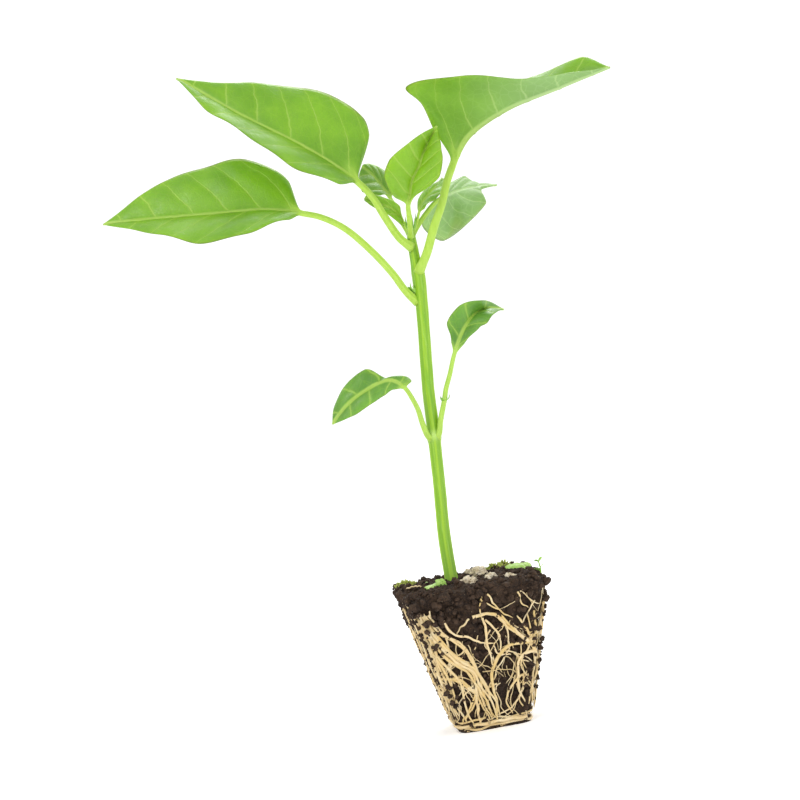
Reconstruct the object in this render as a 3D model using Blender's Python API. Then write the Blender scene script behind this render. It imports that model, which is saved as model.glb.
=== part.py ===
"""Chilli pepper plug plant: a young Capsicum annuum as it comes out of its tray, with its
tapered square root plug and no pot.

Lengths below are millimetres, turned into metres when a mesh is made. +Z is up, the origin is
the middle of the plug's flat underside, the plug's sides face X and Y, and the plant's front
faces -Y.
"""
import math

import bpy
import numpy as np

MM = 0.001
GAP = 0.3                # clearance between touching pieces

# ---- driving dimensions
PLUG_HEIGHT = 46.0
PLUG_TOP = 46.4          # width across the flats at the soil surface
PLUG_BOTTOM = 24.6       # width across the flats at the underside
PLUG_CORNER = 0.16       # corner radius as a share of the width
SOCKET_DEPTH = 12.0      # how far the stem stands in the soil
SOCKET_RADIUS = 2.5
STEM_SIDES = 14
BLADE_HALF_THICK = 0.3   # half the thickness of a leaf blade
BLADE_ARCH = 0.05        # how far each half of a blade bows, as a share of its width

# ---- the stem: centre line and radius, from inside the plug to the growing point
STEM = (
    (-5.5, 0.5, PLUG_HEIGHT - SOCKET_DEPTH, 1.6), (-5.5, 0.5, 46.0, 2.1), (-5.5, 0.5, 62.5, 2.1),
    (-4.5, 0.5, 77.5, 2.0), (-3.6, 0.5, 92.5, 2.1), (-3.5, 0.5, 94.5, 2.5), (-3.4, 0.5, 97.0, 2.1),
    (-3.0, 0.5, 108.5, 2.0), (-1.5, 0.0, 126.5, 2.0), (-0.6, 0.0, 138.0, 2.1),
    (-0.2, 0.0, 146.0, 2.2), (-0.4, 0.0, 151.0, 1.7), (-0.5, 0.0, 157.5, 1.5), (-0.5, 0.0, 160.0, 1.2),
)

# ---- the leaves. Petiole and midrib are points on one curve. Reach is the way from the midrib
# to the margin at the stations REACH_AT, counted along the midrib from its base to its tip.
REACH_AT = (0.06, 0.15, 0.3, 0.5, 0.7, 0.85)
LEAVES = {
    "leaf_left": dict(
        petiole=((-3.5, -0.5, 139), (-5.5, -1.5, 142), (-8.5, -3, 147.5), (-14.5, -5.5, 156),
                 (-22, -6.5, 164.5), (-28.5, -6, 169)),
        midrib=((-33.5, -5, 171), (-45, -5, 174), (-62, -4, 175.5), (-81, -1, 177), (-96.5, 3, 178)),
        left=((-0.5, -5, -2.5), (-1, -9.5, -4.5), (-1.5, -15, -7.5), (-3, -17, -8.5),
              (-2.5, -11, -5.5), (-1.5, -4.5, -2.5)),
        right=((2, 3.5, 7.5), (3, 5.5, 12.5), (1.5, 8, 16.5), (2, 8, 15), (2, 6, 11.5), (1.5, 3.5, 6)),
        radius=(1.2, 0.95)),
    "leaf_upper_left": dict(
        petiole=((-1, -1, 155), (-4.5, -2.5, 158.5), (-8.5, -5, 166), (-11.5, -6.5, 172.5)),
        midrib=((-15, -7.5, 177.5), (-22.5, -7.5, 185), (-31.5, -6.5, 192.5), (-49, -2.5, 205.5),
                (-66, 4.5, 220)),
        left=((-3.5, -9.5, -3.5), (-5, -13, -4.5), (-6.5, -15, -5), (-6, -13.5, -4), (-5, -8.5, -2),
              (-3, -4.5, -1)),
        right=((9, 5, 9), (12.5, 8, 13.5), (13, 9, 14.5), (11, 8, 12.5), (8, 5.5, 7.5), (4, 2.5, 3)),
        radius=(1.3, 1.05)),
    "leaf_right": dict(
        petiole=((0.5, -1, 148), (3, -3.5, 152.5), (6.5, -5, 160.5), (10, -5, 167), (13, -4.5, 174)),
        midrib=((15.5, -4, 178.5), (18.5, -4, 183.5), (23, -5.5, 188), (34.5, -12, 193.5),
                (50, -20, 197), (66.4, -25.4, 200.4)),
        left=((-2, 5.5, 7), (-4, 12.5, 7), (-5.5, 20.5, 7), (-4.5, 18.5, 5.5), (-0.5, 13, 6),
              (1, 4.5, 6.5)),
        right=((-5, -2, 6), (-11.5, 1, 13), (-22.5, 2, 15), (-18, -2, 11), (-12, -5.5, 4.5),
               (-5.5, -4, 2)),
        radius=(1.5, 1.2)),
    "leaf_centre": dict(
        petiole=((-1, -2.4, 160), (-1, -5, 163), (-1, -7, 166)),
        midrib=((-1, -8, 168), (0, -10, 171.5), (1, -11.5, 175.5), (4, -13, 180), (6, -13.5, 184),
                (11.5, -12.5, 191.5)),
        left=((-3, 0.5, 1), (-6, -1, 1.5), (-9, -4.5, 3.5), (-9.5, -1.5, 3), (-5.5, -3, 2.5),
              (-3, -2, 1.5)),
        right=((2, -2.5, 1.5), (5, -4, 1), (8.5, -5.5, 0.5), (7, -6, 1), (4.5, -5.5, 0), (2, -3, 0)),
        radius=(0.85, 0.7)),
    "leaf_back_right": dict(
        petiole=((0.7, 2.3, 160), (4, 1.5, 163.5), (9, 2.5, 168)),
        midrib=((12.5, 5.5, 169.5), (14.5, 12.5, 170), (19, 19, 171), (26, 23, 171.5),
                (33.5, 24.5, 171)),
        left=((0.5, 6, 1.5), (1, 9.5, 2.5), (2.5, 12, 4), (4, 11.5, 4), (2, 9.5, 2), (0, 4, 1)),
        right=((-8, -4, -4.5), (-9.5, -3.5, -8), (-4.5, -3, -14.5), (0, -8.5, -11.5),
               (2.5, -8.5, -6.5), (-1, -2, -1)),
        radius=(0.8, 0.7)),
    "leaf_back_left": dict(
        petiole=((-2, 2.2, 160.5), (-2.5, 5, 164.5), (-3, 7.5, 168.5)),
        midrib=((-4, 8.5, 171.5), (-5.5, 11.5, 175.5), (-7, 16, 179.5), (-10, 20.5, 184)),
        left=((-1.5, -1, 1), (-2.5, -2, -0.5), (-4.5, -3, -1.5), (-6, -3, -2.5), (-5, -1.5, -2),
              (-3, 0.5, -1)),
        right=((2, 2, 1.5), (3, 3.5, 2.5), (3, 5, 4), (1.5, 5.5, 4.5), (0, 4, 3.5), (-0.5, 1.5, 2)),
        radius=(0.7, 0.6)),
    "leaf_inner_left": dict(
        petiole=((-1.5, 0.6, 161), (-1.6, 0.8, 162)),
        midrib=((-1.9, 1, 163), (-4, 2, 167), (-7, 2.5, 169.5), (-13, 4, 173)),
        left=((-0.5, -1, -1.5), (-1.5, -2.5, -1), (-2.5, -2.5, -0.5), (-3, -2.5, -0.5),
              (-2.5, -2, -0.5), (-2, -1, 0)),
        right=((0, 0, 2), (0.5, 0, 3.5), (0, 1, 3.5), (-1, 1.5, 3.5), (-1, 0, 3), (-0.5, 0, 2.5)),
        radius=(0.45, 0.4)),
    "leaf_inner_right": dict(
        petiole=((1.2, -0.3, 161), (2, -0.3, 163)),
        midrib=((3, -0.5, 165.5), (5.5, 1.5, 169), (8.5, 4, 171.5), (13.5, 7.5, 175.5)),
        left=((-0.5, 2, 0.5), (-0.5, 3, 2), (0, 4, 2.5), (1, 4.5, 3), (2, 3, 2), (1.5, 0, 1)),
        right=((1, -2, 0), (1.5, -3, 0.5), (3, -4, 0), (3, -4.5, 0), (3, -2.5, 0), (2.5, -0.5, 0.5)),
        radius=(0.45, 0.4)),
    "leaf_lower_left": dict(
        petiole=((-5.5, -1.5, 94.5), (-7, -3, 99), (-8, -5, 104), (-9.5, -6.5, 108)),
        midrib=((-11, -8, 111), (-13, -8, 113.5), (-16.5, -8, 115), (-23.5, -8.5, 113),
                (-30, -8.5, 109.5), (-36, -8, 104)),
        left=((-1.5, 0, -1), (-1, 0, -2.5), (0, -0.5, -4.5), (1.5, -2.5, -4), (1.5, -2.5, -3.5),
              (1, -2, -2)),
        right=((3, -2, 0.5), (4, 1, 0.5), (3, 2, 0.5), (1, 1.5, 6.5), (-1, 3, 5), (-1.5, 2.5, 2.5)),
        radius=(0.9, 0.7)),
    "leaf_lower_right": dict(
        petiole=((-2, -1.8, 95.5), (-1, -2, 99), (1.5, -1, 105.5), (2.5, -0.5, 108.5),
                 (4.5, -0.5, 113)),
        midrib=((7, 0, 119), (10.5, 1, 125), (13, 2.5, 128), (17, 5, 131), (22, 8.5, 131.5),
                (27, 11, 130.5)),
        left=((-1, 0, 1.5), (-2, 0.5, 2), (-4.5, 0.5, 3.5), (-4, -2.5, 4), (-1.5, -4.5, 3.5),
              (0.5, 2.5, 1.5)),
        right=((2, 0, 0.5), (3, -0.5, 0.5), (5, -0.5, 0), (4.5, -3.5, -2), (3, -4, -1.5),
               (1.5, -1.5, -1)),
        radius=(0.85, 0.7)),
}

# ---- main roots on the sides of the plug: face, width, thickness, and points (across, height)
ROOTS = {
    "root_front_1": ("front", 2.8, 1.4, ((-18.5, 36), (-16, 31), (-12.5, 26.5), (-9.5, 23),
                                         (-6, 19.5), (-3.5, 14.5))),
    "root_front_2": ("front", 1.6, 1.0, ((-10.5, 33.5), (-6.5, 28), (-4, 23.5))),
    "root_front_3": ("front", 1.2, 0.9, ((13, 26.5), (8, 26), (4, 23), (1.5, 18), (1, 13), (1, 7.5))),
    "root_front_4": ("front", 1.4, 1.0, ((-3, 38), (4, 36.5), (8, 32), (12, 29))),
    "root_front_5": ("front", 1.4, 1.0, ((16, 26), (14.8, 20), (13, 13), (11.5, 7.5))),
    "root_front_6": ("front", 1.2, 0.9, ((-15, 19.5), (-12.5, 14), (-11, 9.5), (-9.5, 6))),
    "root_front_7": ("front", 1.1, 0.8, ((-6, 13.5), (-6.2, 10), (-5.8, 6))),
    "root_front_8": ("front", 1.1, 0.8, ((10, 21.5), (8, 16), (7.5, 11), (8, 6.5))),
    "root_left_1": ("left", 1.8, 1.1, ((17, 36), (15, 28), (13, 18), (10.5, 7.5))),
    "root_left_2": ("left", 1.3, 0.9, ((6, 37), (3.5, 27), (5.5, 17), (3, 6.5))),
    "root_left_3": ("left", 1.3, 0.9, ((-9, 38), (-6, 28), (-9, 18), (-6.5, 7))),
    "root_right_1": ("right", 1.5, 1.0, ((-14.5, 35), (-11, 25), (-11.5, 15), (-8, 6.5))),
    "root_right_2": ("right", 1.3, 0.9, ((-2, 39), (1, 30), (-1, 20), (2, 7))),
    "root_right_3": ("right", 1.3, 0.9, ((12, 37), (8.5, 27), (10.5, 16), (7.5, 7))),
    "root_back_1": ("back", 1.6, 1.0, ((-15, 37), (-10, 28), (-10.5, 17), (-7, 7))),
    "root_back_2": ("back", 1.3, 0.9, ((0, 39), (3, 28), (-1, 18), (1, 6.5))),
    "root_back_3": ("back", 1.3, 0.9, ((14, 35), (9, 25), (10, 15), (7, 7))),
}
RING_HEIGHT = 2.6        # roots that circled the bottom of the tray cell
RING_RADIUS = 0.8

# ---- what grows and lies on the soil surface: centre (x, y), half sizes, turn in degrees, colour
SURFACE_BITS = {
    "moss_tuft_1": ((-18.5, 15), (3.6, 2.4, 1.2), 20, "moss"),
    "moss_tuft_2": ((12, 17), (3.8, 3.0, 1.8), 0, "moss"),
    "liverwort_1": ((-14, 6), (2.6, 2.2, 1.2), 10, "liverwort"),
    "liverwort_2": ((-11.5, -5), (3.3, 2.4, 1.5), -20, "liverwort"),
    "liverwort_3": ((16.5, 5), (3.2, 2.4, 1.6), 15, "liverwort"),
    "liverwort_4": ((20, 10.5), (2.0, 1.8, 1.5), 0, "liverwort"),
    "granule_1": ((-1.5, -6.5), (3.1, 2.0, 1.3), 10, "granule"),
    "granule_2": ((1.5, 12), (1.0, 0.9, 0.9), 0, "granule"),
    "granule_3": ((4, 5), (2.5, 1.7, 1.2), -15, "granule"),
    "granule_4": ((6.5, -4), (2.1, 1.6, 1.0), 25, "granule"),
    "granule_5": ((11.5, -11), (2.4, 1.9, 1.3), 0, "granule"),
}
STRAW = ((-20.5, -1, 46.9), (-18, -2, 47.2), (-15.8, -2.4, 46.9))
WEED_LEAF = ((21.2, -14.5, 46.4), (21.4, -14.6, 48.5), (20.8, -14.8, 50.5), (19.6, -15, 51.6))
AXIL_BUD = ((-3.3, 0.4, 141.4), (-3.4, 0.5, 142.6), (-3.2, 0.6, 144.0))
SHOOT_TIP = ((-0.2, 0.3, 160.4), (-0.2, 0.3, 162.5), (-0.1, 0.2, 164.5), (0.1, 0.0, 166.0))
SHOOT_RADII = (0.5, 0.5, 0.4, 0.15)

COLOURS = {
    "soil": ((0.055, 0.034, 0.022), 0.95), "root": ((0.72, 0.60, 0.38), 0.55),
    "stem": ((0.24, 0.46, 0.06), 0.45), "leaf": ((0.13, 0.33, 0.02), 0.42),
    "lower_leaf": ((0.10, 0.26, 0.05), 0.45), "bud": ((0.20, 0.40, 0.08), 0.5),
    "moss": ((0.30, 0.36, 0.08), 0.9), "liverwort": ((0.36, 0.55, 0.16), 0.4),
    "granule": ((0.74, 0.66, 0.50), 0.85), "straw": ((0.62, 0.48, 0.26), 0.8),
}


# ---- small geometry helpers
def unit(v):
    v = np.asarray(v, float)
    return v / np.maximum(np.linalg.norm(v, axis=-1, keepdims=True), 1e-9)


def smooth_curve(points, per_span=12):
    """A centripetal Catmull-Rom curve through the points."""
    p = np.asarray(points, float)
    p = np.vstack([2 * p[0] - p[1], p, 2 * p[-1] - p[-2]])
    pieces = []
    for a, b, c, d in zip(p[:-3], p[1:-2], p[2:-1], p[3:]):
        t1 = np.sqrt(np.linalg.norm(b - a))
        t2 = t1 + np.sqrt(np.linalg.norm(c - b))
        t3 = t2 + np.sqrt(np.linalg.norm(d - c))
        t = np.linspace(t1, t2, per_span, endpoint=False)[:, None]
        ab = (t1 - t) / t1 * a + t / t1 * b
        bc = (t2 - t) / (t2 - t1) * b + (t - t1) / (t2 - t1) * c
        cd = (t3 - t) / (t3 - t2) * c + (t - t2) / (t3 - t2) * d
        abc = (t2 - t) / t2 * ab + t / t2 * bc
        bcd = (t3 - t) / (t3 - t1) * bc + (t - t1) / (t3 - t1) * cd
        pieces.append((t2 - t) / (t2 - t1) * abc + (t - t1) / (t2 - t1) * bcd)
    return np.vstack(pieces + [p[-2:-1]])


def lengths(path):
    return np.concatenate([[0.0], np.cumsum(np.linalg.norm(np.diff(path, axis=0), axis=1))])


def sample(path, at):
    """Points of a polyline at the given distances along it."""
    along = lengths(path)
    return np.stack([np.interp(at, along, path[:, k]) for k in range(3)], axis=1)


def monotone(xs, ys, t):
    """A smooth curve through values that never overshoots them."""
    xs, ys = np.asarray(xs, float), np.asarray(ys, float)
    step = np.diff(xs)
    slope = np.diff(ys) / step
    m = np.concatenate([slope[:1], np.zeros(len(xs) - 2), slope[-1:]])
    for i in range(1, len(xs) - 1):
        if slope[i - 1] * slope[i] > 0:
            m[i] = 2 * slope[i - 1] * slope[i] / (slope[i - 1] + slope[i])
    i = np.clip(np.searchsorted(xs, t, side="right") - 1, 0, len(xs) - 2)
    s = (t - xs[i]) / step[i]
    near = (2 * s**3 - 3 * s**2 + 1) * ys[i] + (s**3 - 2 * s**2 + s) * step[i] * m[i]
    far = (3 * s**2 - 2 * s**3) * ys[i + 1] + (s**3 - s**2) * step[i] * m[i + 1]
    return near + far


def carried_frames(path, first_normal):
    """Tangents, and normals carried along the path without turning about it."""
    tangent = unit(np.gradient(path, axis=0))
    normals = [unit(first_normal - (first_normal @ tangent[0]) * tangent[0])]
    for t in tangent[1:]:
        normals.append(unit(normals[-1] - (normals[-1] @ t) * t))
    return tangent, np.array(normals)


def make_material(name):
    colour, roughness = COLOURS[name]
    material = bpy.data.materials.new(name)
    material.use_nodes = True
    shader = material.node_tree.nodes["Principled BSDF"]
    shader.inputs["Base Color"].default_value = (*colour, 1.0)
    shader.inputs["Roughness"].default_value = roughness
    shader.inputs["Metallic"].default_value = 0.0
    return material


def add_object(name, points, faces, colour):
    mesh = bpy.data.meshes.new(name)
    mesh.from_pydata((np.asarray(points) * MM).tolist(), [], faces)
    mesh.materials.append(make_material(colour))
    mesh.shade_smooth()
    thing = bpy.data.objects.new(name, mesh)
    bpy.context.scene.collection.objects.link(thing)
    return thing


def loft(name, rings, colour, closed=False):
    """One closed body through rings of equal count, capped at both ends or joined end to start."""
    rings = np.asarray(rings)
    count, sides = rings.shape[:2]
    faces = []
    for i in range(count if closed else count - 1):
        a, b = i * sides, (i + 1) % count * sides
        for j in range(sides):
            k = (j + 1) % sides
            faces.append((a + j, a + k, b + k, b + j))
    if not closed:
        faces.append(tuple(reversed(range(sides))))
        faces.append(tuple(range((count - 1) * sides, count * sides)))
    points = rings.reshape(-1, 3)
    if signed_volume(points, faces) < 0:
        faces = [tuple(reversed(face)) for face in faces]
    return add_object(name, points, faces, colour)


def signed_volume(points, faces):
    total = 0.0
    for face in faces:
        for a, b in zip(face[1:-1], face[2:]):
            total += np.dot(points[face[0]], np.cross(points[a], points[b]))
    return total / 6


def circle(sides, start=0.0):
    turn = start + np.arange(sides) * 2 * math.pi / sides
    return np.cos(turn), np.sin(turn)


# ---- the plug and the stem
def plug_half(height):
    """Half the plug's width across the flats at a height."""
    share = np.asarray(height) / PLUG_HEIGHT
    return (PLUG_BOTTOM + (PLUG_TOP - PLUG_BOTTOM) * share) / 2


def rounded_square(half, height, per_corner=4):
    radius = PLUG_CORNER * 2 * half
    ring = []
    for corner in range(4):
        middle = math.pi / 4 + corner * math.pi / 2
        cx, cy = (math.copysign(half - radius, f(middle)) for f in (math.cos, math.sin))
        for step in range(per_corner + 1):
            turn = middle + math.pi / 2 * (step / per_corner - 0.5)
            ring.append((cx + radius * math.cos(turn), cy + radius * math.sin(turn), height))
    return ring


def make_plug():
    lip = 1.2            # the soil edge is rounded off by this much at the top
    rings = [rounded_square(float(plug_half(z)), z) for z in (0.0, 15.0, 30.0, PLUG_HEIGHT - lip)]
    rings.append(rounded_square(float(plug_half(PLUG_HEIGHT)) - lip, PLUG_HEIGHT))
    plug = loft("soil_plug", rings, "soil")
    floor = PLUG_HEIGHT - SOCKET_DEPTH - GAP
    x, y = circle(20)
    rings = [np.stack([STEM[0][0] + SOCKET_RADIUS * x, STEM[0][1] + SOCKET_RADIUS * y,
                       np.full(20, z)], axis=1) for z in (floor, PLUG_HEIGHT + 5)]
    cutter = loft("stem_socket", rings, "soil")
    cutter.hide_render = True
    cutter.display_type = "WIRE"
    cut = plug.modifiers.new("socket", "BOOLEAN")
    cut.operation = "DIFFERENCE"
    cut.solver = "EXACT"
    cut.object = cutter


def stem_line():
    """The stem's centre line and its radius at each point."""
    stations = np.array(STEM)
    path = smooth_curve(stations[:, :3], per_span=3)
    radius = monotone(stations[:, 2], stations[:, 3], path[:, 2])
    return path, radius


def make_stem():
    path, radius = stem_line()
    x, y = circle(STEM_SIDES)
    rings = [np.stack([p[0] + r * x, p[1] + r * y, np.full(STEM_SIDES, p[2])], axis=1)
             for p, r in zip(path, radius)]
    loft("stem", rings, "stem")


# ---- leaves
def reach_along(leaf, side, t):
    """The way from midrib to margin at each station t, and its direction, which never vanishes."""
    keys = np.array(leaf[side], float)
    at = np.concatenate([[0.0], REACH_AT, [1.0]])
    ends = np.zeros((1, 3))
    padded = np.vstack([ends, keys, ends])
    reach = np.stack([monotone(at, padded[:, k], t) for k in range(3)], axis=1)
    ways = unit(keys)
    way = unit(np.stack([np.interp(t, REACH_AT, ways[:, k]) for k in range(3)], axis=1))
    return reach, way


def stalk_start(path, radius):
    """How far along its curve a leaf stalk comes clear of the stem's surface."""
    line, wide = stem_line()
    fine = smooth_curve(line, per_span=6)
    wide = np.interp(fine[:, 2], line[:, 2], wide)
    tangent = unit(np.gradient(path, axis=0))
    for at, p, t in zip(lengths(path), path, tangent):
        out = unit(np.cross(t, (0, 0, 1.0)))
        rim = [p + radius * (math.cos(g) * out + math.sin(g) * np.cross(out, t))
               for g in np.linspace(0, 2 * math.pi, 12, endpoint=False)]
        apart = np.linalg.norm(np.array(rim)[:, None, :] - fine[None], axis=2) - wide[None]
        if apart.min() >= GAP:
            return at
    raise ValueError("the stalk never leaves the stem")


def make_leaf(name, leaf, petiole_steps=9, blade_steps=17):
    joint = len(leaf["petiole"]) * 16
    path = smooth_curve(np.vstack([leaf["petiole"], leaf["midrib"]]), per_span=16)
    along = lengths(path)
    base, end = along[joint], along[-1]
    thick, thin = leaf["radius"]
    start = stalk_start(path, thick)
    at = np.concatenate([np.linspace(start, base, petiole_steps, endpoint=False),
                         base + (end - base) * np.linspace(0, 1, blade_steps) ** 1.15])
    spine = sample(path, at)
    t = np.clip((at - base) / (end - base), 0, 1)
    tangent = unit(np.gradient(spine, axis=0))
    reach_l, way_l = reach_along(leaf, "left", t)
    reach_r, way_r = reach_along(leaf, "right", t)
    across = way_r - way_l
    across = unit(across - np.sum(across * tangent, axis=1, keepdims=True) * tangent)
    facing = np.cross(across, tangent)
    back = spine[petiole_steps::-1]
    _, carried = carried_frames(back, facing[petiole_steps])
    facing[:petiole_steps + 1] = carried[::-1]
    across = np.cross(tangent, facing)
    up_l, up_r = unit(np.cross(tangent, way_l)), unit(np.cross(way_r, tangent))
    radius = np.where(at < base, np.interp(at, [start, base], [thick, thin]),
                      0.35 + (thin - 0.35) * (1 - t) ** 0.8)
    rings = []
    for i, p in enumerate(spine):
        r, f, a = radius[i], facing[i], across[i]
        stalk = [p + r * (math.cos(g) * a + math.sin(g) * f)
                 for g in np.radians([180, 150, 120, 90, 60, 30, 0, -45, -90, -135])]
        tip = 0.35
        wide_l, wide_r = np.linalg.norm(reach_l[i]), np.linalg.norm(reach_r[i])
        half_l, half_r = (BLADE_HALF_THICK * (1 + wide / 30) for wide in (wide_l, wide_r))
        blade = []
        for share in (1, 2 / 3, 1 / 3):
            bow = BLADE_ARCH * 4 * share * (1 - share) * wide_l
            lift = half_l * (0 if share == 1 else 1) + bow
            blade.append(p + (reach_l[i] + tip * way_l[i]) * share + lift * up_l[i])
        blade.append(p + BLADE_HALF_THICK * f)
        for share in (1 / 3, 2 / 3, 1):
            bow = BLADE_ARCH * 4 * share * (1 - share) * wide_r
            lift = half_r * (0 if share == 1 else 1) + bow
            blade.append(p + (reach_r[i] + tip * way_r[i]) * share + lift * up_r[i])
        bow_l, bow_r = BLADE_ARCH * wide_l - half_l, BLADE_ARCH * wide_r - half_r
        blade.append(p + reach_r[i] / 2 + bow_r * up_r[i])
        blade.append(p - r * f)
        blade.append(p + reach_l[i] / 2 + bow_l * up_l[i])
        mix = np.clip(t[i] / 0.1, 0, 1)
        mix = mix * mix * (3 - 2 * mix) * min(1, (1 - t[i]) / 0.05)
        rings.append(np.array(stalk) * (1 - mix) + np.array(blade) * mix)
    loft(name, rings, "lower_leaf" if "lower" in name else "leaf")


# ---- roots
FACES = {                # outward direction, and the direction to the right seen from outside
    "front": ((0, -1, 0), (1, 0, 0)), "back": ((0, 1, 0), (-1, 0, 0)),
    "left": ((-1, 0, 0), (0, -1, 0)), "right": ((1, 0, 0), (0, 1, 0)),
}


def make_root(name, face, width, thick, route):
    out, right = (np.array(v, float) for v in FACES[face])
    flat = smooth_curve([(s, z, 0) for s, z in route], per_span=4)
    height = flat[:, 1]
    stand = plug_half(height) + GAP + thick / 2 + 0.1
    path = flat[:, :1] * right + stand[:, None] * out + height[:, None] * np.array([0, 0, 1.0])
    tangent = unit(np.gradient(path, axis=0))
    side = unit(np.cross(out, tangent))
    lift = np.cross(tangent, side)
    taper = 1 - 0.45 * np.linspace(0, 1, len(path)) ** 2
    x, y = circle(6)
    rings = [p + s * (w * width / 2 * x)[:, None] + u * (w * thick / 2 * y)[:, None]
             for p, s, u, w in zip(path, side, lift, taper)]
    loft(name, rings, "root")


def make_root_ring():
    """The root that circles the plug's foot, one closed loop."""
    stand = GAP + RING_RADIUS + 0.1
    line = np.array(rounded_square(float(plug_half(RING_HEIGHT)) + stand, RING_HEIGHT))
    outward = unit(line * (1, 1, 0))
    x, y = circle(6)
    rings = [p + o * (RING_RADIUS * x)[:, None] + np.array([0, 0, 1.0]) * (RING_RADIUS * y)[:, None]
             for p, o in zip(line, outward)]
    loft("root_ring", rings, "root", closed=True)


# ---- what is on the soil surface, and the buds
def make_surface_bit(name, place, half, turn, colour):
    """A flattened lump that lies on the soil, its underside flat."""
    a, b, h = half
    x, y = circle(12)
    turn = math.radians(turn)
    rings = []
    for share, height in ((0.75, 0.0), (1.0, 0.35), (0.95, 1.1), (0.7, 1.7), (0.3, 2.0)):
        u, v = a * share * x, b * share * y
        rings.append(np.stack([place[0] + u * math.cos(turn) - v * math.sin(turn),
                               place[1] + u * math.sin(turn) + v * math.cos(turn),
                               np.full(12, PLUG_HEIGHT + GAP + h * height)], axis=1))
    loft(name, rings, colour)


def make_stick(name, points, radii, colour, flat=1.0, first_normal=(0, 1, 0)):
    """A tapering rod through points, flattened by the share flat."""
    path = smooth_curve(points, per_span=3)
    tangent, normal = carried_frames(path, np.array(first_normal, float))
    side = np.cross(tangent, normal)
    radius = np.interp(lengths(path), np.linspace(0, lengths(path)[-1], len(radii)), radii)
    x, y = circle(8)
    rings = [p + s * (r * x)[:, None] + n * (flat * r * y)[:, None]
             for p, s, n, r in zip(path, side, normal, radius)]
    loft(name, rings, colour)


def main():
    for thing in list(bpy.data.objects):
        bpy.data.objects.remove(thing)
    make_plug()
    make_stem()
    for name, leaf in LEAVES.items():
        make_leaf(name, leaf)
    for name, root in ROOTS.items():
        make_root(name, *root)
    make_root_ring()
    for name, bit in SURFACE_BITS.items():
        make_surface_bit(name, *bit)
    make_stick("straw_bit", STRAW, (0.3, 0.5, 0.3), "straw", flat=0.6, first_normal=(0, 0, 1))
    make_stick("weed_seedling", WEED_LEAF, (0.35, 0.4, 1.3, 0.3), "liverwort", flat=0.3)
    make_stick("axil_bud", AXIL_BUD, (0.35, 0.4, 0.12), "bud")
    make_stick("shoot_tip", SHOOT_TIP, SHOOT_RADII, "bud")


main()
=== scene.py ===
"""The looks of the chilli pepper plug plant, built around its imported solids.

Lengths are millimetres until a mesh is made. The leaf, stem and root routes follow the solids'
own design values, and the net of roots adds to them.
"""
import math
import random

import bpy
import numpy as np
from mathutils import Matrix, Vector, noise


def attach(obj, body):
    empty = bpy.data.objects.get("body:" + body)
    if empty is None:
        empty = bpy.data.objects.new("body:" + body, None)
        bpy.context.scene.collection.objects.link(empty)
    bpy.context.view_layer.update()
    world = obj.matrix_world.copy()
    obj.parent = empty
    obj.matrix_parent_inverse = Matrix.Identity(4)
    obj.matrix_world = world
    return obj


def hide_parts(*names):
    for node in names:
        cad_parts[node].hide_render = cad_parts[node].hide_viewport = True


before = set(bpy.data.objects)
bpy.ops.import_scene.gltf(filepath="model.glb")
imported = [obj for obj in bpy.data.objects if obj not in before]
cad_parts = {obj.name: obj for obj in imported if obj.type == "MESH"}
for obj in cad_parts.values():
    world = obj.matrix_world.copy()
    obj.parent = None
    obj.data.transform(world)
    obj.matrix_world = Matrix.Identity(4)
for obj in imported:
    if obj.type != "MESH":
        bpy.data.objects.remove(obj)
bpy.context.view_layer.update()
MM = 0.001

# ---- the plug, as in the solids
PLUG_HEIGHT, PLUG_TOP, PLUG_BOTTOM = 46.0, 46.4, 24.6
PLUG_CORNER = 0.16
STEM_FOOT = (-5.5, 0.5)
FACES = {                # outward direction, and the direction to the right seen from outside
    "front": ((0, -1, 0), (1, 0, 0)), "back": ((0, 1, 0), (-1, 0, 0)),
    "left": ((-1, 0, 0), (0, -1, 0)), "right": ((1, 0, 0), (0, 1, 0)),
}

# ---- the stem: centre line and radius
STEM = (
    (-5.5, 0.5, 40.0, 2.0), (-5.5, 0.5, 46.0, 2.15), (-5.5, 0.5, 62.5, 2.1), (-4.5, 0.5, 77.5, 2.0),
    (-3.7, 0.5, 91.5, 2.05), (-3.5, 0.5, 94.5, 2.45), (-3.4, 0.5, 97.5, 2.1), (-3.0, 0.5, 108.5, 2.0),
    (-1.5, 0.0, 126.5, 2.0), (-0.6, 0.0, 137.0, 2.05), (-0.2, 0.0, 146.0, 2.25),
    (-0.4, 0.0, 151.0, 1.75), (-0.5, 0.0, 157.5, 1.5), (-0.5, 0.0, 160.6, 1.25),
)

LOWER_NODE, UPPER_NODE = 94.5, 146.0      # heights of its swollen joints

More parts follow.
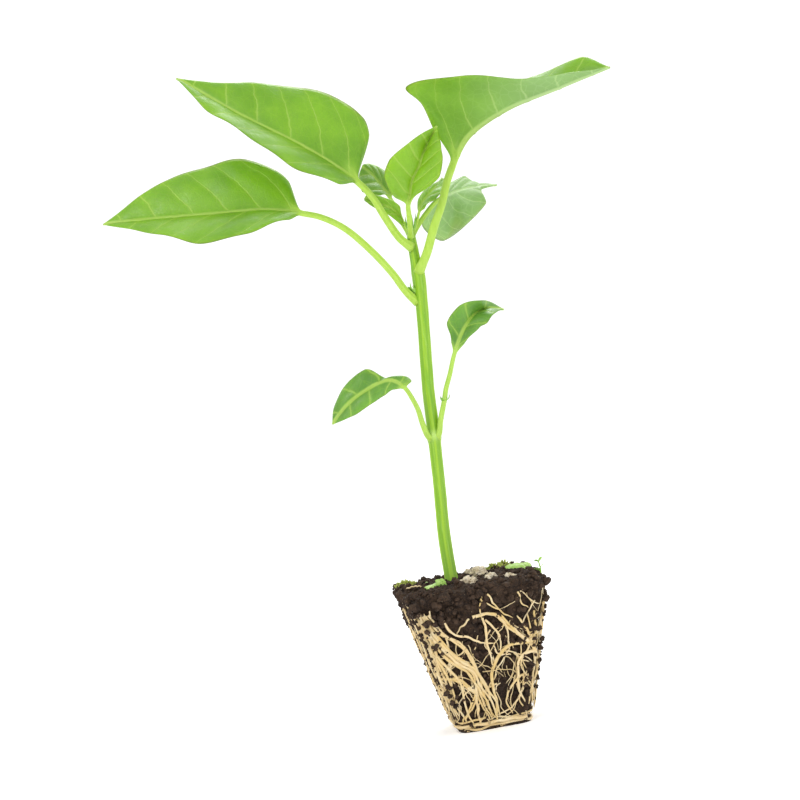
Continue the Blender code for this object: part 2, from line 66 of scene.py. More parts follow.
# ---- the leaves, close to the solids. Reach is the way from the midrib to the margin at REACH_AT.
REACH_AT = (0.06, 0.15, 0.3, 0.5, 0.7, 0.85)
LEAVES = {
    "leaf_left": dict(
        petiole=((-2, 0, 137.5), (-5.5, -1.5, 142), (-8.5, -3, 147.5), (-14.5, -5.5, 156),
                 (-22, -6.5, 164.5), (-28.5, -6, 169)),
        midrib=((-33.5, -5, 171), (-45, -5, 174), (-62, -4, 175.5), (-81, -1, 177), (-96.5, 3, 178)),
        left=((-0.5, -5, -2.5), (-1, -9.5, -4.5), (-1.5, -15, -7.5), (-3, -17, -8.5),
              (-2.5, -11, -5.5), (-1.5, -4.5, -2.5)),
        right=((2, 3.5, 7.5), (3, 5.5, 12.5), (1.5, 8, 16.5), (2, 8, 15), (2, 6, 11.5), (1.5, 3.5, 6)),
        radius=(1.2, 0.95), veins=6),
    "leaf_upper_left": dict(
        petiole=((-1, -1, 155), (-4.5, -2.5, 158.5), (-8.5, -5, 166), (-11.5, -6.5, 172.5)),
        midrib=((-15, -7.5, 177.5), (-22.5, -7.5, 185), (-31.5, -6.5, 192.5), (-49, -2.5, 205.5),
                (-66, 4.5, 220)),
        left=((-3.5, -9.5, -3.5), (-5, -13, -4.5), (-6.5, -15, -5), (-6, -13.5, -4), (-5, -8.5, -2),
              (-3, -4.5, -1)),
        right=((9, 5, 9), (12.5, 8, 13.5), (13, 9, 14.5), (11, 8, 12.5), (8, 5.5, 7.5), (4, 2.5, 3)),
        radius=(1.3, 1.05), veins=6),
    "leaf_right": dict(
        petiole=((-0.2, -0.6, 147), (3, -3.5, 152.5), (6.5, -5, 160.5), (10, -5, 167), (13, -4.5, 174)),
        midrib=((15.5, -4, 178.5), (18.5, -4, 183.5), (23, -5.5, 188), (34.5, -12, 193.5),
                (50, -20, 197), (66.5, -25.5, 200.5)),
        left=((-2, 5.5, 7), (-4, 12.5, 7), (-5.5, 20.5, 7), (-4.5, 18.5, 5.5), (-0.5, 13, 6),
              (1, 4.5, 6.5)),
        right=((-5, -2, 6), (-11.5, 1, 13), (-22.5, 2, 15), (-18, -2, 11), (-12, -5.5, 4.5),
               (-5.5, -4, 2)),
        radius=(1.5, 1.25), veins=6),
    "leaf_centre": dict(
        petiole=((-0.8, -1.0, 158.5), (-1, -5, 163), (-1, -7, 166)),
        midrib=((-1, -8, 168), (0, -10, 171.5), (1, -11.5, 175.5), (4, -13, 180), (6, -13.5, 184),
                (11.5, -12.5, 191.5)),
        left=((-3, 0.5, 1), (-6, -1, 1.5), (-9, -4.5, 3.5), (-9.5, -1.5, 3), (-5.5, -3, 2.5),
              (-3, -2, 1.5)),
        right=((2, -2.5, 1.5), (5, -4, 1), (8.5, -5.5, 0.5), (7, -6, 1), (4.5, -5.5, 0), (2, -3, 0)),
        radius=(0.95, 0.75), veins=5),
    "leaf_back_right": dict(
        petiole=((0.0, 1.0, 159), (4, 1.5, 163.5), (9, 2.5, 168)),
        midrib=((12.5, 5.5, 169.5), (14.5, 12.5, 170), (19, 19, 171), (26, 23, 171.5),
                (33.5, 24.5, 171)),
        left=((0.5, 6, 1.5), (1, 9.5, 2.5), (2.5, 12, 4), (4, 11.5, 4), (2, 9.5, 2), (0, 4, 1)),
        right=((-8, -4, -4.5), (-9.5, -3.5, -8), (-4.5, -3, -14.5), (0, -8.5, -11.5),
               (2.5, -8.5, -6.5), (-1, -2, -1)),
        radius=(0.85, 0.7), veins=5),
    "leaf_back_left": dict(
        petiole=((-1.0, 1.0, 159.5), (-2.5, 5, 164.5), (-3, 7.5, 168.5)),
        midrib=((-4, 8.5, 171.5), (-5.5, 11.5, 175.5), (-7, 16, 179.5), (-10, 20.5, 184)),
        left=((-1.5, -1, 1), (-2.5, -2, -0.5), (-4.5, -3, -1.5), (-6, -3, -2.5), (-5, -1.5, -2),
              (-3, 0.5, -1)),
        right=((2, 2, 1.5), (3, 3.5, 2.5), (3, 5, 4), (1.5, 5.5, 4.5), (0, 4, 3.5), (-0.5, 1.5, 2)),
        radius=(0.75, 0.6), veins=4),
    "leaf_inner_left": dict(
        petiole=((-0.9, 0.3, 159.8), (-1.6, 0.8, 162)),
        midrib=((-1.9, 1, 163), (-4, 2, 167), (-7, 2.5, 169.5), (-13, 4, 173)),
        left=((-0.5, -1, -1.5), (-1.5, -2.5, -1), (-2.5, -2.5, -0.5), (-3, -2.5, -0.5),
              (-2.5, -2, -0.5), (-2, -1, 0)),
        right=((0, 0, 2), (0.5, 0, 3.5), (0, 1, 3.5), (-1, 1.5, 3.5), (-1, 0, 3), (-0.5, 0, 2.5)),
        radius=(0.6, 0.45), veins=4),
    "leaf_inner_right": dict(
        petiole=((0.3, -0.2, 159.8), (2, -0.3, 163)),
        midrib=((3, -0.5, 165.5), (5.5, 1.5, 169), (8.5, 4, 171.5), (13.5, 7.5, 175.5)),
        left=((-0.5, 2, 0.5), (-0.5, 3, 2), (0, 4, 2.5), (1, 4.5, 3), (2, 3, 2), (1.5, 0, 1)),
        right=((1, -2, 0), (1.5, -3, 0.5), (3, -4, 0), (3, -4.5, 0), (3, -2.5, 0), (2.5, -0.5, 0.5)),
        radius=(0.6, 0.45), veins=4),
    "leaf_lower_left": dict(
        petiole=((-4.5, 0, 93.5), (-5.9, -1.8, 95), (-7, -3, 99), (-8, -5, 104), (-9.5, -6.5, 108)),
        midrib=((-11, -8, 111), (-13, -8, 113.5), (-16.5, -8, 115), (-23.5, -8.5, 113),
                (-30, -8.5, 109.5), (-36, -8, 104)),
        left=((-1.5, 0, -1), (-1, 0, -2.5), (0, -0.5, -4.5), (1.5, -2.5, -4), (1.5, -2.5, -3.5),
              (1, -2, -2)),
        right=((3, -2, 0.5), (4, 1, 0.5), (3, 2, 0.5), (1, 1.5, 6.5), (-1, 3, 5), (-1.5, 2.5, 2.5)),
        radius=(0.95, 0.7), veins=4),
    "leaf_lower_right": dict(
        petiole=((-2.9, -0.5, 93.5), (-1.9, -1.7, 95.5), (-1, -2, 99), (1.5, -1, 105.5),
                 (2.5, -0.5, 108.5), (4.5, -0.5, 113)),
        midrib=((7, 0, 119), (10.5, 1, 125), (13, 2.5, 128), (17, 5, 131), (22, 8.5, 131.5),
                (27, 11, 130.5)),
        left=((-1, 0, 1.5), (-2, 0.5, 2), (-4.5, 0.5, 3.5), (-4, -2.5, 4), (-1.5, -4.5, 3.5),
              (0.5, 2.5, 1.5)),
        right=((2, 0, 0.5), (3, -0.5, 0.5), (5, -0.5, 0), (4.5, -3.5, -2), (3, -4, -1.5),
               (1.5, -1.5, -1)),
        radius=(0.9, 0.7), veins=4),
}

# ---- roots given one by one: face, width, thickness, points (across, height)
MAIN_ROOTS = (
    ("left", 1.9, 1.0, ((19, 39.5), (17, 34.5), (16.5, 29), (15, 22), (14, 18), (13, 11.5), (12, 5))),
    ("front", 2.2, 1.2, ((-20, 41), (-16.5, 32.5), (-12.5, 26.5), (-9.5, 23), (-6, 20), (-3.5, 14.5),
                         (-1, 9.5), (0, 4))),
    ("front", 1.7, 1.1, ((-19, 38.5), (-15, 31.5), (-11, 26), (-8, 23), (-5, 19.5), (-4.5, 13),
                         (-3, 8), (-1, 3))),
    ("front", 1.3, 0.9, ((-17.5, 40.5), (-13, 33), (-8.5, 29.5), (-5.5, 24), (-4, 19), (-1.5, 12.5),
                         (0, 8))),
    ("front", 1.1, 0.8, ((14, 26), (7.5, 26.5), (3.5, 23.5), (0.5, 18), (0, 13.5), (0.5, 9), (0, 2.5))),
    ("front", 0.9, 0.7, ((14.5, 26), (13, 31), (11, 35.5))),
    ("front", 0.9, 0.7, ((13.5, 26), (15.5, 29), (17, 32))),
    ("front", 0.7, 0.6, ((14, 26), (14.2, 30), (14, 35.5))),
    ("front", 1.2, 0.9, ((14, 26), (11, 29), (8, 33), (5, 36.5))),
    ("front", 1.3, 0.9, ((14.5, 26), (15.3, 22.5), (14.5, 17), (12.5, 11), (11.5, 6))),
    ("front", 1.0, 0.8, ((15.5, 22.5), (12, 23), (9.5, 20.5), (8.5, 15.5), (8.5, 11.5), (9.5, 7))),
    ("front", 1.3, 0.9, ((-15.5, 19), (-12, 18.5), (-7, 14.5), (-5.5, 12), (-7, 9), (-9.5, 6),
                         (-10.5, 3.5))),
    ("front", 1.1, 0.9, ((-5, 15), (-5.5, 11), (-5.5, 7.5), (-5.5, 2.5))),
    ("front", 0.6, 0.5, ((0.5, 44), (-1, 40.5), (-0.5, 36))),
    ("front", 0.6, 0.5, ((2, 44), (3.5, 41), (6.5, 37), (9, 35))),
    ("front", 0.5, 0.4, ((0, 42.5), (4.5, 39), (7, 38))),
    ("front", 1.5, 1.0, ((-3, 37.5), (1, 38), (5, 36.5), (8, 32), (12, 28), (14.5, 26))),
    ("front", 0.8, 0.7, ((-0.5, 37), (0, 31), (0.5, 25.5), (1, 20.5))),
    ("front", 0.7, 0.6, ((0.5, 36), (3.5, 31.5), (4.5, 28.5), (4, 24))),
    ("front", 1.0, 0.8, ((-19.5, 35), (-18, 28), (-16, 21), (-14.5, 13), (-12, 6))),
    ("front", 0.9, 0.7, ((-18.5, 31), (-15.5, 24), (-13, 17), (-12, 10), (-9.5, 4.5))),
    ("front", 0.9, 0.7, ((-16, 27), (-12, 20.5), (-9.5, 15), (-9.5, 9), (-7.5, 3))),
    ("front", 0.8, 0.7, ((-13, 38), (-10, 33), (-6, 31.5), (-2, 29), (2, 28))),
    ("front", 0.7, 0.6, ((16.5, 36), (15.8, 31), (17, 27.5))),
    ("front", 0.7, 0.6, ((10, 16), (6, 13), (4, 9), (5, 4))),
    ("left", 1.3, 0.9, ((10, 40), (12, 33), (9.5, 24), (11, 15), (8, 6))),
    ("left", 1.2, 0.9, ((-4, 41), (0, 31), (-3, 20), (1, 11), (-1, 4))),
    ("left", 1.0, 0.8, ((-15, 39), (-11, 30), (-12, 21), (-8, 12), (-8, 5))),
    ("right", 1.5, 1.0, ((-17, 38), (-12, 29), (-13, 19), (-9, 11), (-9, 4))),
    ("right", 1.2, 0.9, ((-5, 41), (0, 31), (-3, 22), (2, 13), (0, 4))),
    ("right", 1.2, 0.9, ((12, 39), (9, 30), (12, 20), (8, 11), (7, 4))),
    ("right", 1.0, 0.8, ((18, 37), (4, 27), (-6, 24), (-10, 14))),
    ("back", 1.6, 1.1, ((-17, 39), (-11, 29), (-12, 18), (-8, 10), (-8, 4))),
    ("back", 1.3, 0.9, ((-3, 41), (3, 31), (-1, 21), (2, 12), (0, 4))),
    ("back", 1.2, 0.9, ((14, 38), (10, 28), (12, 18), (8, 10), (7, 4))),
    ("back", 1.0, 0.8, ((8, 40), (-2, 33), (-12, 26), (-15, 17))),
)
FINE_ROOTS = {"front": 62, "left": 80, "right": 80, "back": 84}

LOOSE_ON_SIDES, LOOSE_ON_TOP = 1150, 640      # crumbs lying on the block
MOSS_SHOOTS = 230

# ---- on the soil: centre, half sizes, turn
GRANULES = {
    "granule_1": ((-1.5, -6.5), (3.1, 2.0, 1.7), 10), "granule_2": ((1.5, 12), (1.2, 1.1, 1.3), 0),
    "granule_3": ((4, 5), (2.5, 1.7, 1.7), -15), "granule_4": ((6.5, -4), (2.1, 1.6, 1.5), 25),
    "granule_5": ((11.5, -11), (2.4, 1.9, 1.7), 0),
}
LIVERWORTS = {
    "liverwort_1": ((-14, 6), (2.6, 2.2), 10), "liverwort_2": ((-11.5, -5), (3.4, 2.6), -20),
    "liverwort_3": ((16.5, 5), (3.2, 2.6), 15), "liverwort_4": ((20, 10.5), (2.2, 2.0), 0),
}
MOSSES = {"moss_tuft_1": ((-18.5, 15), (3.8, 2.6), 1.6), "moss_tuft_2": ((12, 17), (4.0, 3.2), 2.6)}


# ================================================================ geometry helpers
def unit(v):
    v = np.asarray(v, float)
    return v / np.maximum(np.linalg.norm(v, axis=-1, keepdims=True), 1e-9)


def smooth_curve(points, per_span=16):
    """A centripetal Catmull-Rom curve through the points."""
    p = np.asarray(points, float)
    p = np.vstack([2 * p[0] - p[1], p, 2 * p[-1] - p[-2]])
    pieces = []
    for a, b, c, d in zip(p[:-3], p[1:-2], p[2:-1], p[3:]):
        t1 = np.sqrt(np.linalg.norm(b - a))
        t2 = t1 + np.sqrt(np.linalg.norm(c - b))
        t3 = t2 + np.sqrt(np.linalg.norm(d - c))
        t = np.linspace(t1, t2, per_span, endpoint=False)[:, None]
        ab = (t1 - t) / t1 * a + t / t1 * b
        bc = (t2 - t) / (t2 - t1) * b + (t - t1) / (t2 - t1) * c
        cd = (t3 - t) / (t3 - t2) * c + (t - t2) / (t3 - t2) * d
        abc = (t2 - t) / t2 * ab + t / t2 * bc
        bcd = (t3 - t) / (t3 - t1) * bc + (t - t1) / (t3 - t1) * cd
        pieces.append((t2 - t) / (t2 - t1) * abc + (t - t1) / (t2 - t1) * bcd)
    return np.vstack(pieces + [p[-2:-1]])


def lengths(path):
    return np.concatenate([[0.0], np.cumsum(np.linalg.norm(np.diff(path, axis=0), axis=1))])


def sample(path, at):
    along = lengths(path)
    return np.stack([np.interp(at, along, path[:, k]) for k in range(path.shape[1])], axis=1)


def monotone(xs, ys, t):
    """A smooth curve through values that never overshoots them."""
    xs, ys = np.asarray(xs, float), np.asarray(ys, float)
    step = np.diff(xs)
    slope = np.diff(ys) / step
    m = np.concatenate([slope[:1], np.zeros(len(xs) - 2), slope[-1:]])
    for i in range(1, len(xs) - 1):
        if slope[i - 1] * slope[i] > 0:
            m[i] = 2 * slope[i - 1] * slope[i] / (slope[i - 1] + slope[i])
    i = np.clip(np.searchsorted(xs, t, side="right") - 1, 0, len(xs) - 2)
    s = (t - xs[i]) / step[i]
    near = (2 * s**3 - 3 * s**2 + 1) * ys[i] + (s**3 - 2 * s**2 + s) * step[i] * m[i]
    far = (3 * s**2 - 2 * s**3) * ys[i + 1] + (s**3 - s**2) * step[i] * m[i + 1]
    return near + far


def carried_frames(path, first_normal):
    """Tangents, and normals carried along the path without turning about it."""
    tangent = unit(np.gradient(path, axis=0))
    first = np.asarray(first_normal, float)
    normals = [unit(first - (first @ tangent[0]) * tangent[0])]
    for t in tangent[1:]:
        normals.append(unit(normals[-1] - (normals[-1] @ t) * t))
    return tangent, np.array(normals)


def smoothstep(x):
    x = np.clip(x, 0, 1)
    return x * x * (3 - 2 * x)


def spin_about_z(degrees):
    c, s = math.cos(math.radians(degrees)), math.sin(math.radians(degrees))
    return np.array(((c, -s, 0), (s, c, 0), (0, 0, 1)))


def fractal(p, scale, octaves=3, offset=0.0):
    """Noise from -1 to 1 at a point in millimetres; scale is the size of its largest lumps."""
    return noise.fractal(Vector(p) / scale + Vector((offset, offset * 0.7, 0)), 0.6, 2.1, octaves)


def add_piece(name, points, faces, material, replaces=(), smooth=True):
    mesh = bpy.data.meshes.new(name)
    mesh.from_pydata((np.asarray(points, float) * MM).tolist(), [], faces)
    mesh.validate()
    if smooth:
        mesh.shade_smooth()
    mesh.materials.append(material)
    piece = bpy.data.objects.new(name, mesh)
    bpy.context.scene.collection.objects.link(piece)
    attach(piece, "root")
    if replaces:
        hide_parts(*replaces)
    return piece


def ring_faces(count, sides, offset=0, closed=False):
    faces = []
    for i in range(count if closed else count - 1):
        a, b = offset + i * sides, offset + (i + 1) % count * sides
        for j in range(sides):
            k = (j + 1) % sides
            faces.append((a + j, a + k, b + k, b + j))
    if not closed:
        faces.append(tuple(offset + j for j in reversed(range(sides))))
        faces.append(tuple(offset + (count - 1) * sides + j for j in range(sides)))
    return faces


def outward(points, faces):
    """The faces, turned over if they face inwards."""
    p = np.asarray(points)
    total = 0.0
    for f in faces:
        a = p[f[0]]
        for i in range(1, len(f) - 1):
            total += float(np.dot(a, np.cross(p[f[i]], p[f[i + 1]])))
    return faces if total > 0 else [tuple(reversed(f)) for f in faces]


def put_point_data(piece, name, values):
    """One number per vertex, read by the shaders as an attribute."""
    data = piece.data.attributes.new(name, "FLOAT", "POINT")
    data.data.foreach_set("value", np.asarray(values, np.float32))


# ================================================================ materials
class Nodes:
    """A short way to write a material's node tree."""

    def __init__(self, name):
        self.material = bpy.data.materials.new(name)
        self.material.use_nodes = True
        self.tree = self.material.node_tree
        self.shader = self.tree.nodes["Principled BSDF"]

    def feed(self, socket, value):
        if isinstance(value, bpy.types.NodeSocket):
            self.tree.links.new(value, socket)
        elif isinstance(value, tuple) and len(value) == 3 and socket.type == "RGBA":
            socket.default_value = (*value, 1.0)
        else:
            socket.default_value = value

    def node(self, kind, **inputs):
        made = self.tree.nodes.new(kind)
        for key, value in inputs.items():
            if hasattr(made, key) and not isinstance(value, bpy.types.NodeSocket):
                setattr(made, key, value)
        return made

    def attribute(self, name):
        return self.node("ShaderNodeAttribute", attribute_name=name).outputs["Fac"]

    def place(self):
        """The surface point in millimetres."""
        scale = self.node("ShaderNodeVectorMath", operation="SCALE")
        self.tree.links.new(self.node("ShaderNodeTexCoord").outputs["Object"], scale.inputs[0])
        scale.inputs["Scale"].default_value = 1 / MM
        return scale.outputs[0]

    def stretch(self, vector, factors):
        made = self.node("ShaderNodeVectorMath", operation="MULTIPLY")
        self.feed(made.inputs[0], vector)
        made.inputs[1].default_value = factors
        return made.outputs[0]

    def noise(self, vector, size, detail=4.0, roughness=0.55):
        made = self.node("ShaderNodeTexNoise")
        self.feed(made.inputs["Vector"], vector)
        made.inputs["Scale"].default_value = 1 / size
        made.inputs["Detail"].default_value = detail
        made.inputs["Roughness"].default_value = roughness
        return made.outputs["Fac"]

    def cells(self, vector, size, feature="DISTANCE_TO_EDGE"):
        made = self.node("ShaderNodeTexVoronoi", feature=feature)
        self.feed(made.inputs["Vector"], vector)
        made.inputs["Scale"].default_value = 1 / size
        return made.outputs["Distance"]

    def math(self, operation, a, b=0.0, c=0.0):
        made = self.node("ShaderNodeMath", operation=operation)
        for socket, value in zip(made.inputs, (a, b, c)):
            self.feed(socket, value)
        return made.outputs[0]

    def times(self, a, b):
        return self.math("MULTIPLY", a, b)

    def plus(self, a, b):
        return self.math("ADD", a, b)

    def minus(self, a, b):
        return self.math("SUBTRACT", a, b)

    def remap(self, value, low, high, to_low=0.0, to_high=1.0):
        made = self.node("ShaderNodeMapRange", interpolation_type="SMOOTHSTEP")
        for key, given in (("Value", value), ("From Min", low), ("From Max", high),
                           ("To Min", to_low), ("To Max", to_high)):
            self.feed(made.inputs[key], given)
        return made.outputs["Result"]

    def mix(self, share, a, b, blend="MIX"):
        made = self.node("ShaderNodeMix", data_type="RGBA", blend_type=blend)
        colour_sockets = [s for s in made.inputs if s.type == "RGBA"]
        self.feed(made.inputs[0], share)
        self.feed(colour_sockets[0], a)
        self.feed(colour_sockets[1], b)
        return next(s for s in made.outputs if s.type == "RGBA")

    def bump(self, height, strength, distance_mm):
        made = self.node("ShaderNodeBump")
        self.feed(made.inputs["Height"], height)
        made.inputs["Strength"].default_value = strength
        made.inputs["Distance"].default_value = distance_mm * MM
        return made.outputs["Normal"]

    def finish(self, colour, roughness, normal=None, **constants):
        self.feed(self.shader.inputs["Base Color"], colour)
        self.feed(self.shader.inputs["Roughness"], roughness)
        if normal is not None:
            self.feed(self.shader.inputs["Normal"], normal)
        for key, value in constants.items():
            self.shader.inputs[key.replace("_", " ")].default_value = value
        return self.material


GREEN_FLESH = dict(Subsurface_Radius=(0.0012, 0.0018, 0.0004), Subsurface_Scale=1.0)


def leaf_material(name, fresh, deep, under, stalk):
    """Leaf skin: attributes say how far a point is from each vein, which side it is on, and
    whether it is still the stalk."""
    n = Nodes(name)
    place = n.place()
    lateral = n.attribute("lateral")             # millimetres from the midrib
    rank = n.attribute("vein_rank")              # whole numbers lie on side veins
    spacing = n.attribute("vein_spacing")        # millimetres between side veins
    is_under, is_stalk, tone = (n.attribute(k) for k in ("underside", "stalk", "tone"))
    wander = n.times(n.minus(n.noise(place, 5.0, 2.0), 0.5), 0.22)
    off_vein = n.math("PINGPONG", n.plus(rank, wander), 0.5)
    off_mm = n.times(off_vein, spacing)
    thin = n.remap(lateral, 0.0, 16.0, 0.52, 0.2)
    side_vein = n.remap(n.math("DIVIDE", off_mm, thin), 0.15, 1.0, 1.0, 0.0)
    halo = n.remap(off_mm, 0.0, 1.7, 1.0, 0.0)
    midrib = n.remap(lateral, 0.35, 0.95, 1.0, 0.0)
    net = n.remap(n.cells(place, 3.1), 0.0, 0.07, 1.0, 0.0)
    small_net = n.remap(n.cells(place, 1.15), 0.0, 0.10, 1.0, 0.0)
    veins = n.math("MAXIMUM", n.times(side_vein, 0.42), n.times(midrib, 0.8))
    patch = n.remap(n.noise(place, 17.0, 3.0), 0.33, 0.68)
    mottle = n.noise(place, 3.2, 5.0)
    blade = n.mix(patch, deep, fresh)
    blade = n.mix(n.times(mottle, 0.22), blade, (0.175, 0.350, 0.012))
    blade = n.mix(tone, blade, (0.225, 0.430, 0.008))
    blade = n.mix(n.times(halo, 0.16), blade, (0.255, 0.420, 0.025))
    blade = n.mix(n.times(net, 0.12), blade, (0.270, 0.430, 0.035))
    blade = n.mix(n.times(small_net, 0.10), blade, (0.05, 0.16, 0.01))
    blade = n.mix(veins, blade, (0.345, 0.500, 0.080))
    back = n.mix(n.times(mottle, 0.4), under, (0.30, 0.46, 0.19))
    back = n.mix(n.times(net, 0.30), back, (0.36, 0.53, 0.25))
    back = n.mix(n.times(veins, 0.9), back, (0.45, 0.61, 0.30))
    # Where the attribute says, the underside shows the blade green: painted light glowing through the leaf
    # on leaf_right, a slight even tint on the other leaves.
    back = n.mix(n.attribute("back_tint_and_painted_glow"), back, blade)
    skin = n.mix(is_under, blade, back)
    streak = n.noise(n.stretch(place, (1.0, 1.0, 0.18)), 1.2, 3.0)
    skin = n.mix(is_stalk, skin, n.mix(streak, stalk, (0.42, 0.62, 0.10)))
    relief = n.times(small_net, -0.35)
    relief = n.minus(relief, n.times(side_vein, 0.8))
    relief = n.plus(relief, n.times(net, -0.3))
    relief = n.plus(relief, n.times(n.noise(place, 0.45, 3.0), 0.3))
    normal = n.bump(relief, 0.55, 0.12)
    rough = n.remap(mottle, 0.3, 0.7, 0.36, 0.52)
    rough = n.plus(rough, n.times(is_under, 0.14))
    return n.finish(skin, rough, normal, Specular_IOR_Level=0.42, Subsurface_Weight=0.12, **GREEN_FLESH)


def stem_material():
    """Ribbed stem: stripes run its length, paler on the ribs."""
    n = Nodes("stem_skin")
    place = n.place()
    ridge = n.attribute("ridge")
    pale = n.attribute("pale")
    long_grain = n.noise(n.stretch(place, (1.0, 1.0, 0.05)), 0.55, 4.0)
    soft_grain = n.noise(n.stretch(place, (1.0, 1.0, 0.08)), 1.6, 3.0)
    speckle = n.remap(n.noise(place, 0.35, 2.0), 0.62, 0.72)
    colour = n.mix(n.remap(ridge, 0.2, 0.9), (0.165, 0.350, 0.006), (0.270, 0.470, 0.016))
    colour = n.mix(n.remap(long_grain, 0.50, 0.72, 0.0, 0.6), colour, (0.30, 0.52, 0.07))
    colour = n.mix(n.times(n.remap(soft_grain, 0.5, 0.7), 0.5), colour, (0.12, 0.33, 0.01))
    colour = n.mix(n.times(speckle, 0.18), colour, (0.45, 0.62, 0.28))
    colour = n.mix(pale, colour, (0.42, 0.60, 0.16))
    relief = n.plus(n.times(long_grain, 0.8), n.times(speckle, 0.15))
    return n.finish(colour, n.remap(soft_grain, 0.3, 0.7, 0.34, 0.5), n.bump(relief, 0.45, 0.15),
                    Specular_IOR_Level=0.45, Subsurface_Weight=0.1, **GREEN_FLESH)


def soil_material(name, dark, warm):
    """Potting compost: near-black crumbs with brown fibres and a few pale grits."""
    n = Nodes(name)
    place = n.place()
    lump = n.noise(place, 2.6, 6.0, 0.65)
    grain = n.noise(place, 0.55, 6.0, 0.7)
    fibre = n.remap(n.noise(n.stretch(place, (1.0, 2.6, 0.8)), 0.7, 5.0, 0.7), 0.60, 0.70)
    grit = n.remap(n.cells(place, 1.7, "F1"), 0.06, 0.11, 1.0, 0.0)
    colour = n.mix(n.remap(lump, 0.35, 0.7), dark, warm)
    colour = n.mix(n.times(n.remap(grain, 0.45, 0.7), 0.55), colour, (0.11, 0.062, 0.034))
    colour = n.mix(n.times(fibre, 0.5), colour, (0.20, 0.115, 0.055))
    colour = n.mix(n.times(grit, 0.5), colour, (0.40, 0.31, 0.20))
    relief = n.plus(lump, n.times(grain, 0.7))
    return n.finish(colour, n.remap(grain, 0.3, 0.7, 0.75, 0.98), n.bump(relief, 0.9, 0.6),
                    Specular_IOR_Level=0.25)


def root_material():
    """Young roots: cream to straw yellow, browner where old, with soil in the creases."""
    n = Nodes("root_skin")
    place = n.place()
    tone = n.attribute("tone")
    blotch = n.noise(place, 4.5, 4.0)
    fine = n.noise(n.stretch(place, (1.0, 1.0, 0.35)), 0.5, 5.0, 0.65)
    colour = n.mix(tone, (0.70, 0.55, 0.32), (0.60, 0.42, 0.15))
    colour = n.mix(n.remap(blotch, 0.45, 0.75, 0.0, 0.55), colour, (0.82, 0.73, 0.52))
    colour = n.mix(n.remap(fine, 0.58, 0.75, 0.0, 0.6), colour, (0.30, 0.18, 0.075))
    dirt = n.remap(n.noise(place, 1.6, 5.0), 0.60, 0.70, 0.0, 0.55)
    colour = n.mix(dirt, colour, (0.16, 0.09, 0.045))
    return n.finish(colour, n.remap(fine, 0.3, 0.7, 0.42, 0.65), n.bump(fine, 0.6, 0.18),
                    Specular_IOR_Level=0.4, Subsurface_Weight=0.08,
                    Subsurface_Radius=(0.001, 0.0007, 0.0004), Subsurface_Scale=1.0)


def tinted_material(name, base, light, dark, size, rough=(0.5, 0.7), bump_mm=0.2):
    """A grown or mineral surface with soft patches, fine grain and darker pores."""
    n = Nodes(name)
    place = n.place()
    patch = n.noise(place, size, 4.0)
    fine = n.noise(place, size * 0.18, 5.0, 0.65)
    pores = n.remap(n.cells(place, size * 0.25), 0.0, 0.12, 1.0, 0.0)
    colour = n.mix(n.remap(patch, 0.4, 0.65), base, light)
    colour = n.mix(n.times(pores, 0.4), colour, dark)
    colour = n.mix(n.remap(fine, 0.55, 0.75, 0.0, 0.5), colour, dark)
    relief = n.minus(fine, n.times(pores, 0.5))
    return n.finish(colour, n.remap(fine, 0.3, 0.7, *rough), n.bump(relief, 0.7, bump_mm),
                    Specular_IOR_Level=0.35)


def plain_stage_material():
    n = Nodes("studio_white")
    tooth = n.noise(n.place(), 3.0, 3.0)
    return n.finish(n.mix(tooth, (0.97, 0.97, 0.97), (0.985, 0.985, 0.985)), 0.9,
                    Specular_IOR_Level=0.1, Emission_Color=(1, 1, 1, 1), Emission_Strength=0.12)


# ================================================================ plant
def reach_along(leaf, side, t):
    keys = np.array(leaf[side], float)
    at = np.concatenate([[0.0], REACH_AT, [1.0]])
    padded = np.vstack([np.zeros((1, 3)), keys, np.zeros((1, 3))])
    reach = np.stack([monotone(at, padded[:, k], t) for k in range(3)], axis=1)
    ways = unit(keys)
    way = unit(np.stack([np.interp(t, REACH_AT, ways[:, k]) for k in range(3)], axis=1))
    return reach, way


